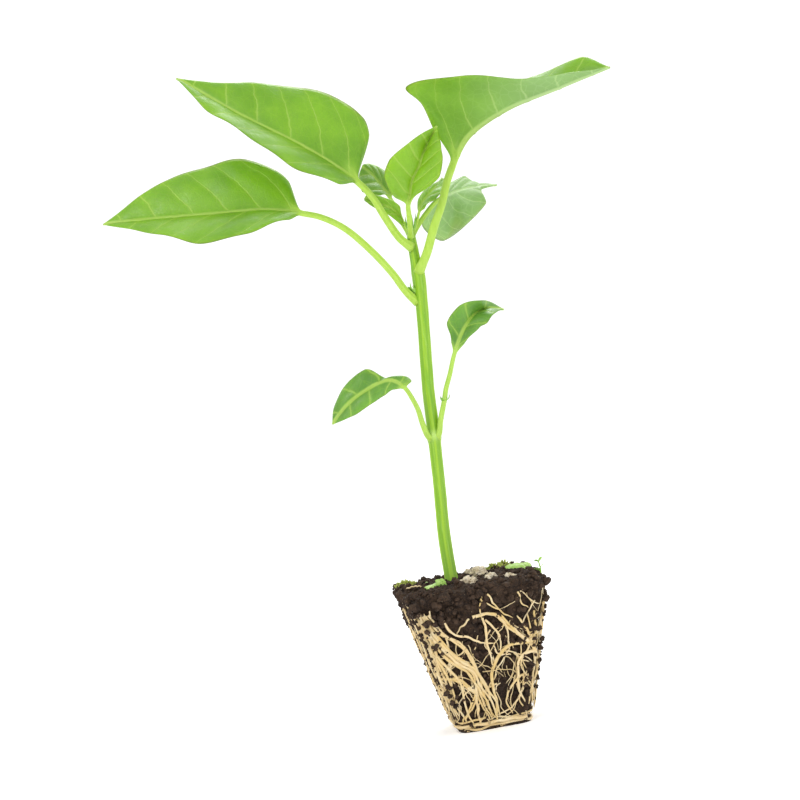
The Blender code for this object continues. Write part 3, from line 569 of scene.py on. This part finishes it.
def make_leaf(name, leaf, material, tone, seed, half=20, stalk_steps=34, blade_steps=120):
    """A leaf as one closed skin: a grooved stalk that widens into a veined, gently quilted blade."""
    chance = random.Random(seed)
    joint = len(leaf["petiole"]) * 24
    path = smooth_curve(np.vstack([leaf["petiole"], leaf["midrib"]]), per_span=24)
    along = lengths(path)
    base, end = along[joint], along[-1]
    size = end - base
    at = np.concatenate([np.linspace(0, base, stalk_steps, endpoint=False),
                         base + size * np.linspace(0, 1, blade_steps) ** 1.1])
    spine = sample(path, at)
    t = np.clip((at - base) / size, 0, 1)
    tangent = unit(np.gradient(spine, axis=0))
    reach_l, way_l = reach_along(leaf, "left", t)
    reach_r, way_r = reach_along(leaf, "right", t)
    across = way_r - way_l
    across = unit(across - np.sum(across * tangent, axis=1, keepdims=True) * tangent)
    facing = np.cross(across, tangent)
    _, carried = carried_frames(spine[stalk_steps::-1], facing[stalk_steps])
    facing[:stalk_steps + 1] = carried[::-1]
    across = np.cross(tangent, facing)
    up = {"left": unit(np.cross(tangent, way_l)), "right": unit(np.cross(way_r, tangent))}
    thick, thin = leaf["radius"]
    radius = np.where(at < base, np.interp(at, [0, base * 0.12, base], [thick * 1.25, thick, thin]),
                      0.28 + (thin - 0.28) * (1 - t) ** 0.9)
    spacing = size / leaf["veins"]
    phase = [chance.uniform(0, 6.3) for _ in range(4)]
    shares = (np.arange(half + 1) / half) ** 1.2
    top = [("left", s) for s in shares[::-1]] + [("right", s) for s in shares[1:]]
    below = [("right", s) for s in shares[-2:0:-1]] + [("right", 0.0)]
    below += [("left", s) for s in shares[1:-1]]
    order = [(side, s, 1) for side, s in top] + [(side, s, -1) for side, s in below]
    angles = np.radians(np.concatenate([np.linspace(180, 0, len(top)),
                                        -np.linspace(0, 180, len(below) + 2)[1:-1]]))
    rings, lateral, rank, under, stalk = [], [], [], [], []
    pale_face = 1 if name == "leaf_back_right" else -1      # that leaf is turned over
    for i, p in enumerate(spine):
        mixing = float(smoothstep(t[i] / 0.09))
        x = t[i] * size
        ring = []
        for (side, s, face), g in zip(order, angles):
            groove = 1 - 0.22 * math.exp(-((g - math.pi / 2) / 0.45) ** 2)
            on_stalk = p + radius[i] * groove * (math.cos(g) * across[i] + math.sin(g) * facing[i])
            reach, way = (reach_l, way_l) if side == "left" else (reach_r, way_r)
            width = float(np.linalg.norm(reach[i]))
            w = width * s
            started = x - 0.55 * w - 0.016 * w * w
            q = math.copysign(abs(started / size) ** 0.9, started) * leaf["veins"]
            q += 0.5 if side == "right" else 0.08
            off_vein = abs((q + 0.5) % 1 - 0.5)
            swell = math.sin(math.pi * min(off_vein * 2, 1) / 2) ** 1.2
            quilt = 0.30 * swell * 4 * s * (1 - s) ** 0.7
            wave = 0.55 * s**3 * math.sin(x / 5.5 + phase[0 if side == "left" else 1])
            wave += 0.30 * s**2 * math.sin(x / 2.6 + phase[2 if side == "left" else 3])
            grow = min(width / 8, 1)
            bow = 0.05 * 4 * s * (1 - s) * width
            lift = bow + (quilt + wave) * grow
            skin = 0.05 + 0.20 * (1 - s**3)
            if face > 0:
                lift += skin - 0.28 * grow * math.exp(-(w / 0.7) ** 2)
                lift -= 0.10 * grow * math.exp(-(off_vein * spacing / 0.6) ** 2) * (1 - s)
            else:
                lift -= skin + (radius[i] - 0.1) * math.exp(-(w / (radius[i] * 0.8)) ** 2)
                lift -= 0.16 * grow * math.exp(-(off_vein * spacing / 0.5) ** 2) * (1 - s)
            normal = up[side][i] if s > 0 else facing[i]
            on_blade = p + reach[i] * s + way[i] * (0.12 * s) + normal * lift
            ring.append(on_stalk * (1 - mixing) + on_blade * mixing)
            lateral.append(w)
            rank.append(q)
            under.append(1.0 if face == pale_face else 0.0)
            stalk.append((1 - float(smoothstep(t[i] / 0.14))) * min(1.0, math.exp(2.5 - w)))
        rings.append(ring)
    points = np.array(rings).reshape(-1, 3)
    faces = outward(points, ring_faces(len(rings), len(order)))
    piece = add_piece(name + "_grown", points, faces, material, [name])
    # On leaf_right the underside takes the blade's lit green near the stem, fading out towards the tip:
    # painted light glowing through the leaf. The other leaves keep a slight even tint of blade green on
    # their undersides.
    fade = smoothstep((points[:, 0] - 14) / 34) * 0.75
    back_tint_and_painted_glow = 0.95 - fade if name == "leaf_right" else [0.1] * len(points)
    for key, values in (("lateral", lateral), ("vein_rank", rank), ("underside", under),
                        ("stalk", stalk), ("vein_spacing", [spacing] * len(points)),
                        ("tone", [tone] * len(points)), ("back_tint_and_painted_glow", back_tint_and_painted_glow)):
        put_point_data(piece, key, values)
    return piece


def make_stem(material):
    """The ribbed stem, swollen and paler at its nodes."""
    stations = np.array(STEM)
    path = smooth_curve(stations[:, :3], per_span=24)
    wide = monotone(stations[:, 2], stations[:, 3], path[:, 2])
    sides = 64
    turn = np.arange(sides) * 2 * math.pi / sides
    points, ridges, pales = [], [], []
    for p, r in zip(path, wide):
        z = p[2]
        twist = z * 0.004
        rib = 0.5 + 0.5 * np.cos(5 * (turn + twist) + 0.6)
        small = 0.5 + 0.5 * np.cos(13 * (turn - twist) + z * 0.01)
        node = math.exp(-((z - LOWER_NODE) / 2.2) ** 2) + 0.6 * math.exp(-((z - UPPER_NODE) / 3.5) ** 2)
        lump = np.array([fractal((math.cos(a) * 3, math.sin(a) * 3, z), 6.0, 2) for a in turn[::4]])
        lump = np.interp(turn, turn[::4], lump, period=2 * math.pi)
        radial = r * (0.93 + 0.075 * rib + 0.02 * small) + 0.05 * lump * (1 + node)
        points += [(p[0] + q * math.cos(a), p[1] + q * math.sin(a), z) for q, a in zip(radial, turn)]
        ridges += list(0.65 * rib + 0.35 * small)
        pale = 0.75 * math.exp(-((z - LOWER_NODE - 0.3) / 1.5) ** 2) + 0.25 * math.exp(-((z - 47) / 3) ** 2)
        pales += [pale] * sides
    faces = outward(points, ring_faces(len(path), sides))
    piece = add_piece("stem_grown", points, faces, material, ["stem"])
    put_point_data(piece, "ridge", ridges)
    put_point_data(piece, "pale", pales)


def tube(points, radii, sides=8, flat=1.0, first_normal=(0, 1, 0.1)):
    """Points and faces of a tube along a path."""
    path = np.asarray(points, float)
    tangent, normal = carried_frames(path, first_normal)
    side = np.cross(tangent, normal)
    turn = np.arange(sides) * 2 * math.pi / sides
    rings = [p + s * (r * np.cos(turn))[:, None] + n * (flat * r * np.sin(turn))[:, None]
             for p, s, n, r in zip(path, side, normal, radii)]
    return np.vstack(rings), ring_faces(len(path), sides)


def join_parts(parts, turn_out=True):
    """One list of points and faces from several, their faces turned outwards if asked."""
    points, faces, start = [], [], 0
    for p, f in parts:
        if turn_out:
            f = outward(p, f)
        points.append(np.asarray(p))
        faces += [tuple(i + start for i in face) for face in f]
        start += len(p)
    return np.vstack(points), faces


def make_buds(material):
    """The growing point with its folded leaflets, the axil bud and the scale on a lower stalk."""
    def leaflet(foot, tip, width, bend):
        foot, tip, bend = (np.array(v, float) for v in (foot, tip, bend))
        path = smooth_curve([foot, (foot + tip) / 2 + bend, tip], per_span=10)
        s = np.linspace(0, 1, len(path))
        radii = width * (0.25 + 1.0 * np.sin(np.pi * s ** 0.8)) * (1 - s ** 6) + 0.04
        return tube(path, radii, 12, flat=0.35, first_normal=bend + (0.01, 0.02, 0))
    tip = [leaflet((-0.4, 0.1, 159.8), (0.3, -1.6, 167.0), 0.75, (-0.2, -0.5, 0)),
           leaflet((0.0, 0.2, 159.8), (1.9, -0.9, 166.0), 0.6, (0.5, -0.1, 0)),
           leaflet((-0.4, 0.4, 159.8), (-1.5, -0.6, 165.6), 0.55, (-0.5, 0.1, 0)),
           leaflet((-0.2, 0.5, 159.8), (0.4, 1.9, 167.5), 0.65, (0.1, 0.5, 0)),
           leaflet((0.1, -0.4, 159.8), (1.2, -2.2, 164.2), 0.45, (0.3, -0.4, 0))]
    points, faces = join_parts(tip)
    add_piece("shoot_tip_grown", points, faces, material, ["shoot_tip"])
    axil = [leaflet((-2.2, -0.6, 140.5), (-3.4, -1.0, 144.6), 0.45, (-0.6, -0.1, 0)),
            leaflet((-2.2, 0.0, 140.5), (-4.4, -0.6, 143.0), 0.45, (-0.2, 0.3, 0.2)),
            leaflet((-2.0, -0.6, 140.3), (-2.9, -1.2, 143.0), 0.35, (0.1, -0.3, 0))]
    points, faces = join_parts(axil)
    add_piece("axil_bud_grown", points, faces, material, ["axil_bud"])
    scale = [leaflet((1.5, -1.2, 105.0), (0.2, -1.6, 106.8), 0.5, (-0.3, -0.2, -0.4)),
             leaflet((1.5, -1.4, 104.8), (3.4, -1.8, 107.2), 0.35, (0.4, -0.2, -0.2))]
    points, faces = join_parts(scale)
    add_piece("lower_stalk_scale", points, faces, material, ())


# ================================================================ root plug
def plug_half(height):
    share = np.asarray(height) / PLUG_HEIGHT
    return (PLUG_BOTTOM + (PLUG_TOP - PLUG_BOTTOM) * share) / 2


def square_point(half, turn):
    """A point on a rounded square of this half width, and its outward direction."""
    radius = PLUG_CORNER * 2 * half
    c, s = math.cos(turn), math.sin(turn)
    power = 6.0
    r = (abs(c) ** power + abs(s) ** power) ** (-1 / power)
    point = np.array([c * r, s * r]) * (half - radius * 0.12)
    out = np.array([math.copysign(abs(v * r) ** (power - 1), v) for v in (c, s)])
    return point, out / np.linalg.norm(out)


def surface_height(x, y):
    """The crumbly soil surface at the top of the plug."""
    rise = 1.3 * fractal((x, y, 3.0), 7.0, 4) + 0.7 * fractal((x, y, 9.0), 2.2, 3)
    edge = max(abs(x), abs(y)) / (PLUG_TOP / 2)
    near_stem = math.exp(-((x - STEM_FOOT[0]) ** 2 + (y - STEM_FOOT[1]) ** 2) / 30)
    return PLUG_HEIGHT + 0.5 + rise + 0.9 * near_stem - 1.6 * smoothstep((edge - 0.86) / 0.16)


def make_soil(material):
    """The compost block: one closed crumbly skin over its sides, top and underside."""
    around, rows, lids = 320, 100, 46
    turns = [k * 2 * math.pi / around + math.pi / 4 for k in range(around)]
    points = []
    for j in range(rows + 1):
        z = PLUG_HEIGHT * j / rows
        half = float(plug_half(z))
        for turn in turns:
            flat, out = square_point(half, turn)
            p = (flat[0], flat[1], z)
            dent = 0.9 * fractal(p, 6.5, 4) + 0.55 * fractal(p, 1.9, 3, 5.0)
            dent = min(dent, 0.35) - 0.45
            fade = min(1.0, z / 2.5)
            x, y = flat + out * dent * (0.35 + 0.65 * fade)
            points.append((x, y, z))
    for rim, is_top in ((rows, True), (0, False)):
        for k in range(1, lids + 1):
            share = 1 - k / lids
            for j in range(around):
                edge_x, edge_y = points[rim * around + j][:2]
                x, y = edge_x * share, edge_y * share
                if is_top:
                    rounding = smoothstep((1 - share) / 0.06)
                    z = PLUG_HEIGHT + (surface_height(x, y) - PLUG_HEIGHT) * rounding
                else:
                    z = max(0.0, 0.5 * fractal((x, y, 0), 2.4, 3)) * smoothstep((1 - share) / 0.1)
                points.append((x, y, z))
    faces = []
    for j in range(rows):
        for k in range(around):
            a, b = j * around + k, j * around + (k + 1) % around
            faces.append((a, b, b + around, a + around))
    for start, first, flip in (((rows + 1) * around, rows * around, False),
                               ((rows + 1 + lids) * around, 0, True)):
        previous = first
        for k in range(lids - 1):
            row = start + k * around
            for j in range(around):
                a, b = previous + j, previous + (j + 1) % around
                c, d = row + (j + 1) % around, row + j
                faces.append((d, c, b, a) if flip else (a, b, c, d))
            previous = row
        centre = start + (lids - 1) * around
        for j in range(around):
            a, b = previous + j, previous + (j + 1) % around
            faces.append((centre, b, a) if flip else (a, b, centre))
    used = sorted({i for f in faces for i in f})
    remap = {old: new for new, old in enumerate(used)}
    points = np.array(points)[used]
    faces = [tuple(remap[i] for i in f) for f in faces]
    add_piece("soil_block", points, faces, material, ["soil_plug"])


def pebble(seed_mesh, place, size, squash, chance, rough=0.6):
    """A crumb: a small ball with an uneven surface, turned at random."""
    points, faces = seed_mesh
    shift = chance.uniform(0, 90)
    lumps = np.array([1 + rough * fractal(p * 2.0, 1.5, 3, shift) for p in points])
    angle = chance.uniform(0, 6.3)
    turn = Matrix.Rotation(angle, 3, Vector([chance.uniform(-1, 1) for _ in range(3)]))
    shape = points * lumps[:, None] * (size, size * squash[0], size * squash[1])
    return shape @ np.array(turn).T + place, faces


def ball(detail):
    import bmesh
    made = bmesh.new()
    bmesh.ops.create_icosphere(made, subdivisions=detail, radius=1.0)
    points = np.array([v.co[:] for v in made.verts])
    faces = [tuple(v.index for v in f.verts) for f in made.faces]
    made.free()
    return points, faces


def make_crumbs(material):
    """Loose crumbs over the sides and top, thicker near the upper edge."""
    chance = random.Random(11)
    seed_mesh = ball(2)
    parts = []
    for _ in range(LOOSE_ON_SIDES):
        face = chance.choice(list(FACES))
        out, right = (np.array(v, float) for v in FACES[face])
        z = PLUG_HEIGHT * chance.random() ** 0.62
        half = float(plug_half(z))
        size = chance.uniform(0.28, 0.95) * (1 + 0.5 * (z > 36))
        place = right * chance.uniform(-0.93, 0.93) * half + out * (half - 0.35 * size - 0.25)
        place = place + np.array([0, 0, max(z, size + 0.2)])
        squash = (chance.uniform(0.6, 1), chance.uniform(0.6, 1))
        parts.append(pebble(seed_mesh, place, size, squash, chance))
    for _ in range(LOOSE_ON_TOP):
        x, y = chance.uniform(-22.3, 22.3), chance.uniform(-22.3, 22.3)
        if math.hypot(x - STEM_FOOT[0], y - STEM_FOOT[1]) < 3.0:
            continue
        size = chance.uniform(0.3, 1.15)
        place = np.array([x, y, float(surface_height(x, y)) + 0.2 * size])
        squash = (chance.uniform(0.6, 1), chance.uniform(0.6, 1))
        parts.append(pebble(seed_mesh, place, size, squash, chance))
    for label, some in (("soil_crumbs_1", parts[::2]), ("soil_crumbs_2", parts[1::2])):
        points, faces = join_parts(some, turn_out=False)
        add_piece(label, points, faces, material, ())


def face_path(face, flat, stand):
    """Turns points (across, height) on a side of the plug into space, stand mm off it."""
    out, right = (np.array(v, float) for v in FACES[face])
    half = plug_half(flat[:, 1])
    share = np.clip(np.abs(flat[:, 0]) / half, 0, 0.965)
    depth = 0.98 * half * (1 - share**6) ** (1 / 6) + stand
    return flat[:, :1] * right + depth[:, None] * out + flat[:, 1:2] * np.array([0, 0, 1.0])


def root_tube(face, flat, width, thick, chance, stand=0.1, sides=8):
    path = face_path(face, flat, stand)
    wobble = chance.uniform(0, 50)
    path = path + np.array([[0.25 * fractal((wobble, k * 0.35, axis * 7), 2.5, 2) for axis in range(3)]
                            for k in range(len(path))])
    path[:, 2] = np.maximum(path[:, 2], 0.6)
    s = np.linspace(0, 1, len(path))
    swell = np.array([1 + 0.22 * fractal((wobble, 3, k * 0.5), 2.0, 2) for k in range(len(path))])
    radii = width / 2 * (1 - 0.45 * s**2) * swell * np.minimum(1, (1.02 - s) / 0.08) ** 0.5
    out = np.array(FACES[face][0], float)
    return tube(path, np.maximum(radii, 0.06), sides, flat=thick / width, first_normal=out)


def make_roots(material):
    """The net of roots on each side: main strands as listed, fine ones wandering down between."""
    chance = random.Random(5)
    nodes = {face: [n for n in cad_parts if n.startswith("root_" + face)] for face in FACES}
    for face in FACES:
        parts, tones = [], []
        for where, width, thick, route in MAIN_ROOTS:
            if where != face:
                continue
            flat = smooth_curve(np.array(route, float), per_span=9)
            tone = chance.uniform(0.15, 0.75)
            strands = 3 if width > 1.6 else 2 if width > 1.2 else 1
            for k in range(strands):
                drift = (k - (strands - 1) / 2) * width * 0.55
                wave = np.array([[0.5 * fractal((k * 9 + tone * 30, i * 0.12, 0), 1.5, 2), 0]
                                 for i in range(len(flat))])
                one = flat + wave + (drift, 0)
                slim = width / strands ** 0.7
                parts.append(root_tube(face, one, slim, min(thick, slim), chance,
                                       stand=0.15 + 0.2 * chance.random(), sides=10))
                tones += [min(1, max(0, tone + chance.uniform(-0.2, 0.2)))] * len(parts[-1][0])
        for _ in range(FINE_ROOTS[face]):
            z = PLUG_HEIGHT * chance.uniform(0.25, 0.95)
            s = chance.uniform(-0.9, 0.9) * float(plug_half(z))
            heading = chance.gauss(-math.pi / 2, 0.75)
            flat = []
            for _step in range(chance.randint(8, 34)):
                half = float(plug_half(z))
                flat.append((s, z))
                heading += chance.gauss(0, 0.26) + 0.06 * (-math.pi / 2 - heading)
                s += 0.9 * math.cos(heading)
                z += 0.9 * math.sin(heading)
                if abs(s) > half * 0.97 or not 0.8 < z < PLUG_HEIGHT - 0.5:
                    break
            if len(flat) < 5:
                continue
            flat = smooth_curve(np.array(flat)[::2] if len(flat) > 9 else np.array(flat), per_span=3)
            width = chance.choice((0.22, 0.28, 0.35, 0.45, 0.6))
            stand = chance.uniform(-0.35, 0.25)
            parts.append(root_tube(face, flat, width, width, chance, stand=stand, sides=6))
            tones += [chance.uniform(0.0, 0.6)] * len(parts[-1][0])
        points, faces = join_parts(parts)
        piece = add_piece("roots_" + face, points, faces, material, nodes[face])
        put_point_data(piece, "tone", tones)
    make_foot_roots(material, chance)


def make_foot_roots(material, chance):
    """Roots that circled the bottom of the cell, and a few across the underside."""
    parts, tones = [], []
    for k, (height, stand, radius) in enumerate(((2.2, 0.35, 0.62), (1.1, 0.0, 0.5), (3.4, 0.1, 0.38),
                                                 (1.1, -0.9, 0.7))):
        ring = []
        for i in range(121):
            turn = k * 1.3 + (0.86 + 0.07 * k) * 2 * math.pi * i / 120
            z = height + 1.1 * fractal((i * 0.09, k * 5, 0), 1.2, 2)
            flat, out = square_point(float(plug_half(z)), turn)
            off = stand + 0.7 * fractal((i * 0.13, k * 3, 8), 1.1, 2) - 0.3
            ring.append((*(flat + out * off), max(z, radius + 0.1)))
        swell = [radius * (1 + 0.2 * fractal((i * 0.2, k, 2), 1.0, 2)) for i in range(121)]
        parts.append(tube(np.array(ring), swell, 10, flat=0.85, first_normal=(0, 0, 1)))
        tones += [0.35 + 0.15 * k] * len(parts[-1][0])
    for k in range(16):
        x, y = chance.uniform(-9, 9), chance.uniform(-9, 9)
        heading = chance.uniform(0, 6.3)
        flat = []
        for _ in range(26):
            flat.append((x, y, 0.42))
            heading += chance.gauss(0, 0.3)
            x += math.cos(heading) * 0.9
            y += math.sin(heading) * 0.9
            if max(abs(x), abs(y)) > 11.5:
                break
        if len(flat) > 4:
            path = smooth_curve(np.array(flat), per_span=2)
            parts.append(tube(path, [chance.uniform(0.2, 0.38)] * len(path), 6, first_normal=(0, 0, 1)))
            tones += [chance.uniform(0.2, 0.7)] * len(parts[-1][0])
    points, faces = join_parts(parts)
    piece = add_piece("roots_foot", points, faces, material, ["root_ring"])
    put_point_data(piece, "tone", tones)


# ================================================================ on the soil
def make_granules(material):
    chance = random.Random(3)
    for name, (place, half, turn) in GRANULES.items():
        points, faces = ball(5)
        shift = chance.uniform(0, 90)
        lumps = np.array([1 + 0.42 * fractal(p, 0.55, 3, shift) + 0.15 * fractal(p, 0.2, 2, shift)
                          for p in points])
        shape = points * lumps[:, None] * half
        level = float(surface_height(*place)) + half[2] * 0.55
        placed = shape @ spin_about_z(turn).T + (*place, level)
        add_piece(name + "_crumbly", placed, faces, material, [name])


def lobe(place, half, turn, seed, lift):
    """A wavy, lobed thallus lying on the soil: a thin closed disc."""
    rings, around = 12, 72
    points = []
    for side in (1, -1):
        for k in range(rings + 1):
            share = k / rings
            for j in range(around):
                a = j * 2 * math.pi / around
                edge = 1 + 0.16 * math.cos(3 * a + seed) + 0.09 * math.cos(7 * a + 2 * seed)
                x, y = half[0] * edge * share * math.cos(a), half[1] * edge * share * math.sin(a)
                z = 0.9 * (1 - share**2) + 0.45 * share**2 * math.sin(4 * a + seed)
                z += lift * share * math.sin(a)
                z -= 0.35 * math.exp(-(y / 0.5) ** 2) * (1 - share)
                points.append((x, y, z + side * (0.28 * (1 - share**4) + 0.02)))
    faces = []
    layer = (rings + 1) * around
    for side in range(2):
        for k in range(rings):
            for j in range(around):
                a = side * layer + k * around + j
                b = side * layer + k * around + (j + 1) % around
                face = (a, a + around, b + around, b)
                faces.append(face if side == 0 else face[::-1])
    for j in range(around):
        a, b = rings * around + j, rings * around + (j + 1) % around
        faces.append((a, a + layer, b + layer, b))
    level = float(surface_height(*place)) + 0.5
    return np.array(points) @ spin_about_z(turn).T + (*place, level), faces


def make_liverworts(material):
    for k, (name, (place, half, turn)) in enumerate(LIVERWORTS.items()):
        parts = [lobe(place, half, turn, k * 1.7, 0.5)]
        beside = (place[0] + half[0] * 0.6, place[1] - 0.8)
        small = (half[0] * 0.6, half[1] * 0.6)
        parts.append(lobe(beside, small, turn + 60, k + 4.0, 0.9))
        points, faces = join_parts(parts, turn_out=False)
        add_piece(name + "_lobed", points, faces, material, [name])


def make_mosses(material):
    """Moss: hundreds of little pointed shoots on a low mound."""
    chance = random.Random(8)
    for name, (place, half, height) in MOSSES.items():
        parts = []
        for _ in range(MOSS_SHOOTS):
            a, r = chance.uniform(0, 6.3), math.sqrt(chance.random())
            x, y = place[0] + half[0] * r * math.cos(a), place[1] + half[1] * r * math.sin(a)
            foot = np.array([x, y, float(surface_height(x, y)) - 0.5 + height * 0.5 * (1 - r * r)])
            lean = np.array([chance.gauss(0, 0.5), chance.gauss(0, 0.5), chance.uniform(0.8, 1.7)])
            path = np.array([foot, foot + lean * 0.5 + (0, 0, 0.1), foot + lean])
            parts.append(tube(path, (0.16, 0.24, 0.04), 5))
        points, faces = join_parts(parts)
        add_piece(name + "_shoots", points, faces, material, [name])


def make_straw_and_weed(straw, green):
    route = smooth_curve([(-20.5, -1, 47.6), (-18, -2, 48.0), (-15.8, -2.4, 47.7)], per_span=12)
    bent = route + np.array([[0, 0, 0.1 * math.sin(i)] for i in range(len(route))])
    points, faces = tube(bent, [0.45] * len(route), 10, flat=0.5, first_normal=(0, 0, 1))
    add_piece("straw_bit_split", points, faces, straw, ["straw_bit"])
    parts = [tube(smooth_curve([(21.2, -14.5, 45.6), (21.3, -14.6, 48.2), (21.0, -14.8, 50.6)], 8),
                  [0.22] * 17, 8)]
    for foot, tip, width in (((21.0, -14.8, 50.4), (22.3, -15.2, 51.9), 0.75),
                             ((21.0, -14.8, 50.4), (19.4, -15.0, 51.2), 0.8),
                             ((21.25, -14.6, 48.4), (22.6, -14.2, 49.4), 0.65),
                             ((21.2, -14.5, 47.4), (19.2, -14.8, 48.6), 0.9)):
        path = smooth_curve([foot, (np.array(foot) + tip) / 2 + (0, 0, 0.25), tip], per_span=8)
        s = np.linspace(0, 1, len(path))
        parts.append(tube(path, 0.08 + width * np.sin(np.pi * np.clip(s * 1.05 - 0.02, 0, 1)) ** 0.8,
                          14, flat=0.16, first_normal=(0.1, 0.3, 1)))
    points, faces = join_parts(parts)
    add_piece("weed_seedling_grown", points, faces, green, ["weed_seedling"])


# ================================================================ camera, light and stage
def make_camera():
    """At the photograph's viewing angle: just above level, a little to the plant's left, rolled."""
    azimuth, elevation, roll = (math.radians(a) for a in (-6.5, 3.0, 9.3))
    lens, sensor, distance = 120.0, 36.0, 853.33
    target = Vector((-12.6, 0.0, 107.6))
    back = Vector((math.sin(azimuth) * math.cos(elevation), -math.cos(azimuth) * math.cos(elevation),
                   math.sin(elevation)))
    level_right = (-back).cross(Vector((0, 0, 1))).normalized()
    level_up = level_right.cross(-back)
    right = level_right * math.cos(roll) - level_up * math.sin(roll)
    up = level_right * math.sin(roll) + level_up * math.cos(roll)
    data = bpy.data.cameras.new("camera")
    data.lens, data.sensor_width = lens, sensor
    data.clip_start, data.clip_end = 0.01, 20.0
    camera = bpy.data.objects.new("camera", data)
    place = (target + back * distance) * MM
    camera.matrix_world = Matrix((right, up, back)).transposed().to_4x4()
    camera.matrix_world.translation = place
    bpy.context.scene.collection.objects.link(camera)
    bpy.context.scene.camera = camera


def add_area_light(name, place, size, power, colour=(1, 1, 1), aim=(0.0, 0.0, 0.11)):
    data = bpy.data.lights.new(name, "AREA")
    data.shape, data.size, data.energy, data.color = "DISK", size, power, colour
    lamp = bpy.data.objects.new(name, data)
    lamp.location = place
    lamp.rotation_euler = (Vector(aim) - Vector(place)).to_track_quat("-Z", "Y").to_euler()
    bpy.context.scene.collection.objects.link(lamp)


def make_stage(material):
    """A pale floor that sweeps up into a backdrop without an edge."""
    radius, reach, rise = 1.0, 1.6, 4.0
    profile = [(-4.0, 0.0), (reach, 0.0)]
    for k in range(1, 25):
        turn = math.pi / 2 * k / 24
        profile.append((reach + radius * math.sin(turn), radius - radius * math.cos(turn)))
    profile.append((reach + radius, rise))
    points = [(x, y, z) for y, z in profile for x in (-6.0, 6.0)]
    faces = [(2 * k, 2 * k + 1, 2 * k + 3, 2 * k + 2) for k in range(len(profile) - 1)]
    mesh = bpy.data.meshes.new("stage_floor")
    mesh.from_pydata(points, [], faces)
    mesh.shade_smooth()
    mesh.materials.append(material)
    floor = bpy.data.objects.new("stage_floor", mesh)
    bpy.context.scene.collection.objects.link(floor)


def make_light():
    world = bpy.data.worlds.new("studio")
    world.use_nodes = True
    world.node_tree.nodes["Background"].inputs["Color"].default_value = (1, 1, 1, 1)
    world.node_tree.nodes["Background"].inputs["Strength"].default_value = 0.97
    bpy.context.scene.world = world
    bpy.context.scene.view_settings.view_transform = "Standard"
    add_area_light("key", (-0.55, -0.75, 0.95), 0.5, 5.5, (1.0, 0.985, 0.96))
    add_area_light("fill", (0.8, -0.6, 0.35), 0.8, 2.0)
    add_area_light("rim", (0.25, 0.7, 0.8), 0.6, 5.0)


def main():
    make_camera()
    make_light()
    make_stage(plain_stage_material())
    fresh = leaf_material("leaf_skin", (0.158, 0.345, 0.006), (0.098, 0.250, 0.004),
                          (0.215, 0.365, 0.120), (0.290, 0.470, 0.030))
    # The two lower leaves get a darker, greyer copy of the same leaf skin.
    old = leaf_material("lower_leaf_skin", (0.110, 0.270, 0.030), (0.058, 0.175, 0.018),
                        (0.180, 0.320, 0.110), (0.270, 0.440, 0.045))
    tones = {"leaf_centre": 0.45, "leaf_inner_left": 0.5, "leaf_inner_right": 0.15,
             "leaf_back_left": 0.1, "leaf_right": 0.15, "leaf_left": 0.1, "leaf_upper_left": 0.05}
    for k, (name, leaf) in enumerate(LEAVES.items()):
        lower = "lower" in name
        make_leaf(name, leaf, old if lower else fresh,
                  tones.get(name, 0.0), 20 + k)
    make_stem(stem_material())
    make_buds(tinted_material("bud_skin", (0.16, 0.40, 0.03), (0.30, 0.55, 0.08),
                              (0.08, 0.22, 0.02), 2.0, (0.38, 0.55), 0.08))
    soil = soil_material("compost", (0.013, 0.008, 0.006), (0.046, 0.028, 0.018))
    make_soil(soil)
    make_crumbs(soil_material("compost_crumbs", (0.018, 0.011, 0.008), (0.066, 0.040, 0.025)))
    make_roots(root_material())
    make_granules(tinted_material("granule_skin", (0.70, 0.60, 0.42), (0.84, 0.77, 0.62),
                                  (0.42, 0.30, 0.17), 1.6, (0.75, 0.95), 0.3))
    make_liverworts(tinted_material("liverwort_skin", (0.30, 0.52, 0.08), (0.48, 0.66, 0.22),
                                    (0.16, 0.32, 0.04), 1.8, (0.32, 0.5), 0.15))
    make_mosses(tinted_material("moss_skin", (0.34, 0.40, 0.07), (0.48, 0.52, 0.14),
                                (0.16, 0.20, 0.03), 1.5, (0.7, 0.9), 0.1))
    make_straw_and_weed(tinted_material("straw_skin", (0.62, 0.48, 0.25), (0.75, 0.62, 0.36),
                                        (0.35, 0.24, 0.11), 1.2, (0.6, 0.8), 0.1),
                        tinted_material("weed_skin", (0.26, 0.52, 0.05), (0.40, 0.62, 0.14),
                                        (0.12, 0.30, 0.03), 1.5, (0.4, 0.55), 0.08))


main()
